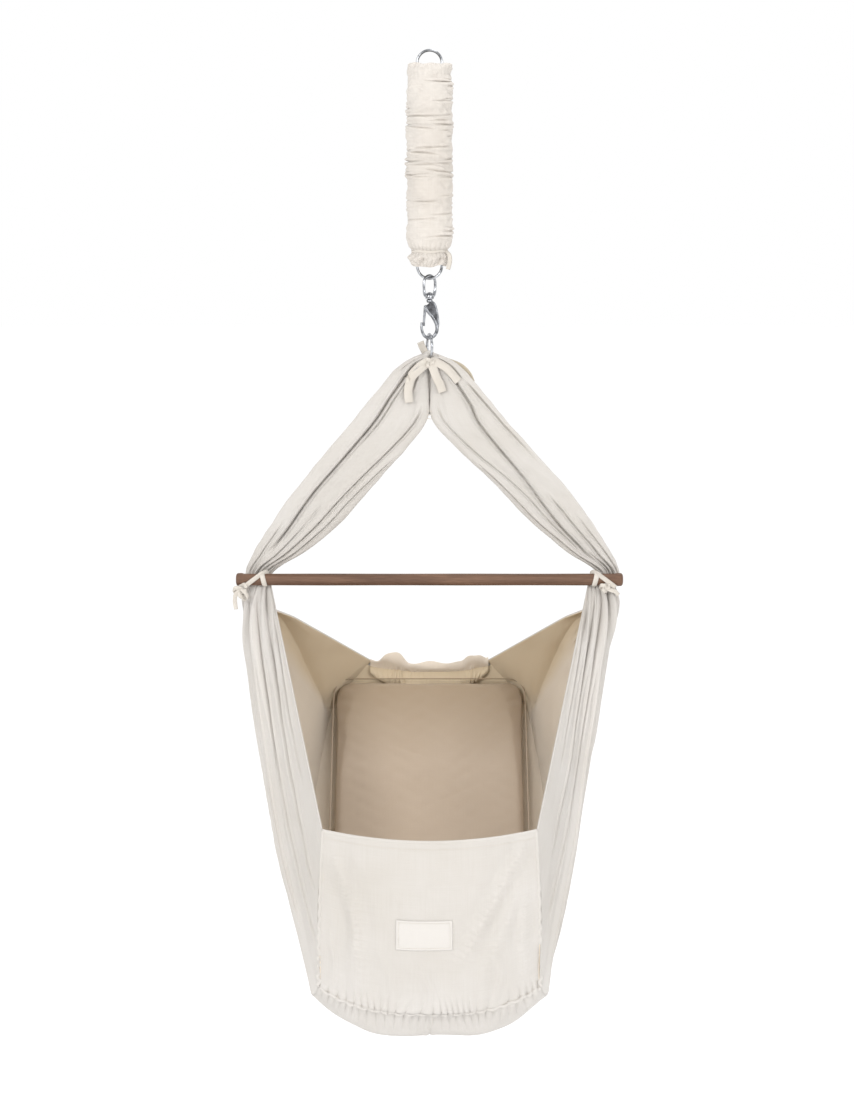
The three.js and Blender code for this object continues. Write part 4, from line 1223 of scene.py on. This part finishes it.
def base_grid(rows=260, columns=220, inset=0.0):
    v, u = np.meshgrid(np.linspace(0, 1, rows), np.linspace(0, 1, columns), indexing="ij")
    across = 2 * u - 1
    weight = (np.abs(across) ** 3)[..., None]
    middle = BASE_MIDDLE(v[:, 0])[:, None]
    edge = WALL_EDGE(BASE_EDGE_START + (1 - BASE_EDGE_START) * v[:, 0])[:, None]
    grid = middle * (1 - weight) + edge * weight
    grid[..., 0] = across * edge[..., 0]
    grid[..., 2] += BAR_Z / MM
    grid *= MM
    normal = grid_normals(grid)
    normal = normal * np.where(normal[rows // 2, columns // 2, 2] < 0, 1, -1)
    seam = np.clip(1 - v / 0.10, 0, 1)
    pucker = seam * (np.abs(np.sin(u * 92 + 1.8 * soft([u * 5, v * 3], 110))) ** 0.7 - 0.6) * 5.2
    off_middle = np.abs(across * BASE_HALF)
    middle_seam = 0.8 * np.exp(-((off_middle - 6) / 4) ** 2) - 2.2 * np.exp(-(off_middle / 2.2) ** 1.3)
    slack = 2.6 * soft([u * 4, v * 5], 111) + 0.9 * soft([u * 13, v * 16], 112)
    calm = np.clip((1 - np.abs(across)) / 0.04, 0, 1)
    calm = calm * np.clip(v / 0.02, 0, 1) * np.clip((1 - v) / 0.02, 0, 1)
    return grid + normal * (((pucker + middle_seam + slack) * calm - inset) * MM)[..., None]


base = base_grid()
base_piece = cloth_piece("base_cloth", base, CANVAS, 0.0014)
finish_piece(base_piece, "hammock", "canvas", "base_panel")
base_lining = cloth_piece("base_lining_cloth", base_grid(160, 120, 3.0)[2:-2], LINING, 0.0012)
finish_piece(base_lining, "hammock", "lining")
base_columns = np.linspace(0, base.shape[1] - 1, front.shape[1]).astype(int)
low_line = (front[-1] + base[1][base_columns]) / 2
low_wave = np.sin(np.linspace(0, 118, len(low_line))) * 0.0012
low_line = low_line + np.stack([np.zeros_like(low_wave), -0.0010 + low_wave * 0.4, low_wave], axis=1)
low_seam = sweep("front_lower_seam", low_line, 0.0032, 0.0016, (0, 0.3, 1), CANVAS, 12)
finish_piece(low_seam, "hammock", "canvas")
stitches("lower_seam_stitches", low_line + (0, -0.0018, 0.0048), 0.0042, 0.0030, 0.00036)
middle_row = base[4:120, base.shape[1] // 2]
stitches("base_centre_stitches", middle_row + (0.0045, -0.0007, -0.0007), 0.0042, 0.0030, 0.00036,
         out=(0, -0.6, -0.8))
print("base", [round(v, 3) for v in base_piece.dimensions])

# %% [markdown]
# The rear rim is gathered on an elastic run through a channel. The cloth above the channel stands up as a
# ruffle, with a fuller puff at each end.

# %% Rear rim
RIM_HALF = 118


def rim_grid(kind):
    x, s = np.meshgrid(np.linspace(-1, 1, 420), np.linspace(0, 1, 60), indexing="xy")
    droop = 1 - x**2
    near = np.exp(-((x + 0.52) / 0.2) ** 2) + np.exp(-((x - 0.74) / 0.14) ** 2) + 0.25
    fine = np.sin(x * 97 + 2 * soft([x * 9, s], 121))
    gather = near * (np.sin(x * 58 + 2.4 * soft([x * 6, s * 2], 120)) + 0.6 * fine)
    wave = soft([x * 3.2, s * 1.2], 123)
    puff = np.exp(-((x + 0.62) / 0.20) ** 4) + 0.75 * np.exp(-((x - 0.76) / 0.16) ** 4)
    if kind == "channel":
        y = 341 + 7 * np.cos(s * math.pi * 1.1 + 0.3) + gather * 1.5 + 3.5 * wave - 6 * s * droop
        z = BAR_Z / MM - 218 - 10 * droop - s * (20 + 31 * droop) + gather * 0.7 + 2.5 * wave * s
    else:
        held = np.exp(-((s - 0.1) / 0.2) ** 2)
        y = 344 - 8 * np.sin(s * 2.4) - puff * s * 9 + gather * 1.1 * held + 3 * wave * s
        z = BAR_Z / MM - 230 - 10 * droop + s * (20 + 19 * puff + 4 * wave)
    return np.stack([x * RIM_HALF, y, z], axis=-1) * MM


channel = cloth_piece("rear_channel", rim_grid("channel"), LINING, 0.0016)
finish_piece(channel, "hammock", "lining", "rear_casing", "rear_elastic")
# The ruffle's lighter copy of the canvas is painted light.
ruffle = cloth_piece("rear_ruffle", rim_grid("ruffle"), RUFFLE_PAINTED_LIGHT, 0.0012)
finish_piece(ruffle, "hammock", "canvas", "rear_ruffle_left", "rear_ruffle_right")
back_band = rim_grid("channel") + (0, 0.006, 0)
back_cover = cloth_piece("rear_channel_back", back_band[:, ::-1], CANVAS, 0.0014)
finish_piece(back_cover, "hammock", "canvas")
rim_row = rim_grid("channel")[8] + (0, -0.002, 0)
stitches("rim_stitches", rim_row, 0.0044, 0.0030, 0.0004, zigzag=0.3)
print("rear rim", [round(v, 3) for v in channel.dimensions])

# %% [markdown]
# The pad is a soft filled slab in its own cover, with small round corners and a thin corded seam round its
# side. A short cloth simulation blows it up a little, which crowns it, and shallow creases are added on top.

# %% Pad
PAD_FOOT = np.array([0, -292, -727])
PAD_HEAD = np.array([0, 315, -252])
PAD_RUN = (PAD_HEAD - PAD_FOOT) / np.linalg.norm(PAD_HEAD - PAD_FOOT)
PAD_UP = np.array([0, -PAD_RUN[2], PAD_RUN[1]])
PAD_LENGTH = float(np.linalg.norm(PAD_HEAD - PAD_FOOT))
PAD_HALF = 188
PAD_CORNER = 34


def on_pad(x, along, height):
    sag = 30 * np.sin(math.pi * np.clip(along / PAD_LENGTH, 0, 1))
    point = PAD_FOOT + PAD_RUN * along[..., None] + PAD_UP * (height - sag)[..., None]
    point = point + np.stack([x, 0 * x, 0 * x + BAR_Z / MM], axis=-1)
    return point * MM


def pad_outline(inset, count=240):
    half, length, corner = PAD_HALF - inset, PAD_LENGTH / 2 - inset, PAD_CORNER - inset
    t = np.linspace(0, 2 * math.pi, count, endpoint=False)
    power = 0.10
    x = half * np.sign(np.cos(t)) * np.abs(np.cos(t)) ** power
    a = length * np.sign(np.sin(t)) * np.abs(np.sin(t)) ** power
    over_x, over_a = np.abs(x) - (half - corner), np.abs(a) - (length - corner)
    reach = np.hypot(np.maximum(over_x, 0), np.maximum(over_a, 0))
    pull = np.where((over_x > 0) & (over_a > 0) & (reach > corner), corner / np.maximum(reach, 1e-6), 1)
    x = np.where(over_x > 0, np.sign(x) * ((half - corner) + over_x * pull), x)
    a = np.where(over_a > 0, np.sign(a) * ((length - corner) + over_a * pull), a)
    ends = np.stack([np.append(x, x[0]), np.append(a, a[0])], axis=1)
    run = np.concatenate([[0], np.cumsum(np.linalg.norm(np.diff(ends, axis=0), axis=1))])
    even = np.linspace(0, run[-1], count, endpoint=False)
    return np.interp(even, run, ends[:, 0]), np.interp(even, run, ends[:, 1]) + PAD_LENGTH / 2


def pad_shell():
    outline_x, outline_a = pad_outline(0)
    middle = PAD_LENGTH / 2
    rings = []
    levels = [(0.0, 15), (0.3, 15), (0.6, 15), (0.85, 14.5), (0.96, 12), (1.0, 6), (1.0, -6), (0.96, -12),
              (0.85, -14.5), (0.6, -15), (0.3, -15), (0.0, -15)]
    for scale, height in levels:
        scale = max(scale, 0.01)
        rings.append(on_pad(outline_x * scale, middle + (outline_a - middle) * scale,
                            np.full_like(outline_x, height)))
    grid = np.array(rings)
    faces = grid_faces(len(levels), len(outline_x), True)
    n = len(outline_x)
    caps = [list(range(n)), list(range((len(levels) - 1) * n, len(levels) * n))[::-1]]
    return piece("pad_cover", grid.reshape(-1, 3), [list(f) for f in faces] + caps, PAD_CLOTH)


def run_modifiers(obj):
    with bpy.context.temp_override(object=obj, active_object=obj, selected_objects=[obj]):
        for modifier in list(obj.modifiers):
            bpy.ops.object.modifier_apply(modifier=modifier.name)


def read_points(obj):
    points = np.empty(len(obj.data.vertices) * 3)
    obj.data.vertices.foreach_get("co", points)
    return points.reshape(-1, 3)


def write_points(obj, points):
    obj.data.vertices.foreach_set("co", points.ravel())


def blow_up(obj, pressure, frames_to_run, cap):
    """Inflates a closed skin with a short cloth simulation, and holds each point near where it began."""
    remesh = obj.modifiers.new("remesh", "REMESH")
    remesh.mode = "VOXEL"
    remesh.voxel_size = 0.0058
    run_modifiers(obj)
    before = read_points(obj)
    cloth_modifier = obj.modifiers.new("cloth", "CLOTH")
    settings = cloth_modifier.settings
    settings.use_pressure = True
    settings.uniform_pressure_force = pressure
    settings.quality = 5
    settings.mass = 0.3
    settings.tension_stiffness = 12
    settings.compression_stiffness = 12
    settings.bending_stiffness = 1.2
    settings.effector_weights.gravity = 0
    cloth_modifier.point_cache.frame_start = 1
    cloth_modifier.point_cache.frame_end = frames_to_run
    for number in range(1, frames_to_run + 1):
        bpy.context.scene.frame_set(number)
    run_modifiers(obj)
    move = read_points(obj) - before
    size = np.linalg.norm(move, axis=1, keepdims=True)
    move *= np.minimum(1, cap / np.maximum(size, 1e-9))
    write_points(obj, before + move)
    bpy.context.scene.frame_set(1)
    smooth = obj.modifiers.new("even", "SMOOTH")
    smooth.factor = 0.5
    smooth.iterations = 3
    subdivide = obj.modifiers.new("subdivide", "SUBSURF")
    subdivide.levels = 1
    run_modifiers(obj)
    obj.data.polygons.foreach_set("use_smooth", [True] * len(obj.data.polygons))


def crease_pad(obj):
    """Shallow rumples over the pad, and four soft creases at a slant across it."""
    points = read_points(obj)
    x, along = points[:, 0], points @ PAD_RUN
    rumple = 0.9 * soft([x * 20, along * 14], 130) + 0.45 * soft([x * 46, along * 62], 131)
    for at_x, at_a, slope in ((-0.13, 0.0, 0.9), (0.12, -0.06, -0.8), (0.05, 0.10, 0.5), (-0.04, 0.2, -0.35)):
        away = (along - points[:, 0].mean() - at_a - along.mean()) - slope * (x - at_x)
        rumple += -1.1 * np.exp(-np.abs(away) / 0.006) * np.exp(-((x - at_x) / 0.06) ** 2)
    write_points(obj, points + PAD_UP * (rumple * MM)[:, None])


def flat_uv(obj):
    """UVs in metres for a remeshed pad, laid out from its own width and its own slope."""
    points = read_points(obj)
    uv = np.stack([points[:, 0] + 0.2 * (points @ PAD_UP), points @ PAD_RUN], axis=1)
    layer = obj.data.uv_layers.new(name="UVMap")
    corners = np.empty(len(obj.data.loops), int)
    obj.data.loops.foreach_get("vertex_index", corners)
    layer.data.foreach_set("uv", uv[corners].ravel())


pad = pad_shell()
blow_up(pad, 3.0, 16, 0.007)
crease_pad(pad)
flat_uv(pad)
finish_piece(pad, "hammock", "mattress_cloth", "mattress")
pipe_x, pipe_a = pad_outline(-2)
piping = sweep("pad_piping", on_pad(pipe_x, pipe_a, np.full_like(pipe_x, 5.0)), 0.0013, 0.0013, tuple(PAD_UP),
               PAD_CLOTH, 10, closed=True)
finish_piece(piping, "hammock", "mattress_cloth")
print("pad", [round(v, 3) for v in pad.dimensions], "vertices", len(pad.data.vertices))

# %% [markdown]
# A small woven label is stitched to the front panel. It is blank here: a plain satin patch with folded
# edges and a row of stitches round it.

# %% Label
LABEL_WIDE, LABEL_TALL = 100, 54
PANEL_AT_LABEL, PANEL_TOP, PANEL_DROP = 394, 418.5, 312


def label_grid():
    """The label's grid, laid on the front panel between the points of the panel's own grid."""
    v, u = np.meshgrid(np.linspace(0, 1, 40), np.linspace(0, 1, 70), indexing="ij")
    spot = centre("front_label") / MM
    pu = 0.5 + spot.x / PANEL_AT_LABEL + (u - 0.5) * LABEL_WIDE / PANEL_AT_LABEL
    pv = (BAR_Z / MM - PANEL_TOP - spot.z) / PANEL_DROP + (v - 0.5) * LABEL_TALL / PANEL_DROP
    i = pv * (PANEL_ROWS - 1)
    j = pu * (PANEL_COLUMNS - 1)
    i0, j0 = i.astype(int), j.astype(int)
    fi, fj = (i - i0)[..., None], (j - j0)[..., None]
    grid = ((front[i0, j0] * (1 - fi) + front[i0 + 1, j0] * fi) * (1 - fj)
            + (front[i0, j0 + 1] * (1 - fi) + front[i0 + 1, j0 + 1] * fi) * fj)
    edge = np.minimum(np.minimum(u, 1 - u) * LABEL_WIDE, np.minimum(v, 1 - v) * LABEL_TALL)
    grid[..., 1] -= 0.0016 + 0.0006 * np.exp(-((edge - 2.2) / 1.6) ** 2)
    return grid


label = cloth_piece("front_label_patch", label_grid()[:, ::-1], LABEL, 0.0008)
finish_piece(label, "hammock", "label", "front_label")
label_rows = label_grid()
rim = np.concatenate([label_rows[3, 3:-3], label_rows[3:-3, -4], label_rows[-4, 3:-3][::-1],
                      label_rows[3:-3, 3][::-1]])
stitches("label_stitches", rim + (0, -0.0008, 0), 0.0030, 0.0022, 0.0003)
print("label", [round(v, 3) for v in label.dimensions])
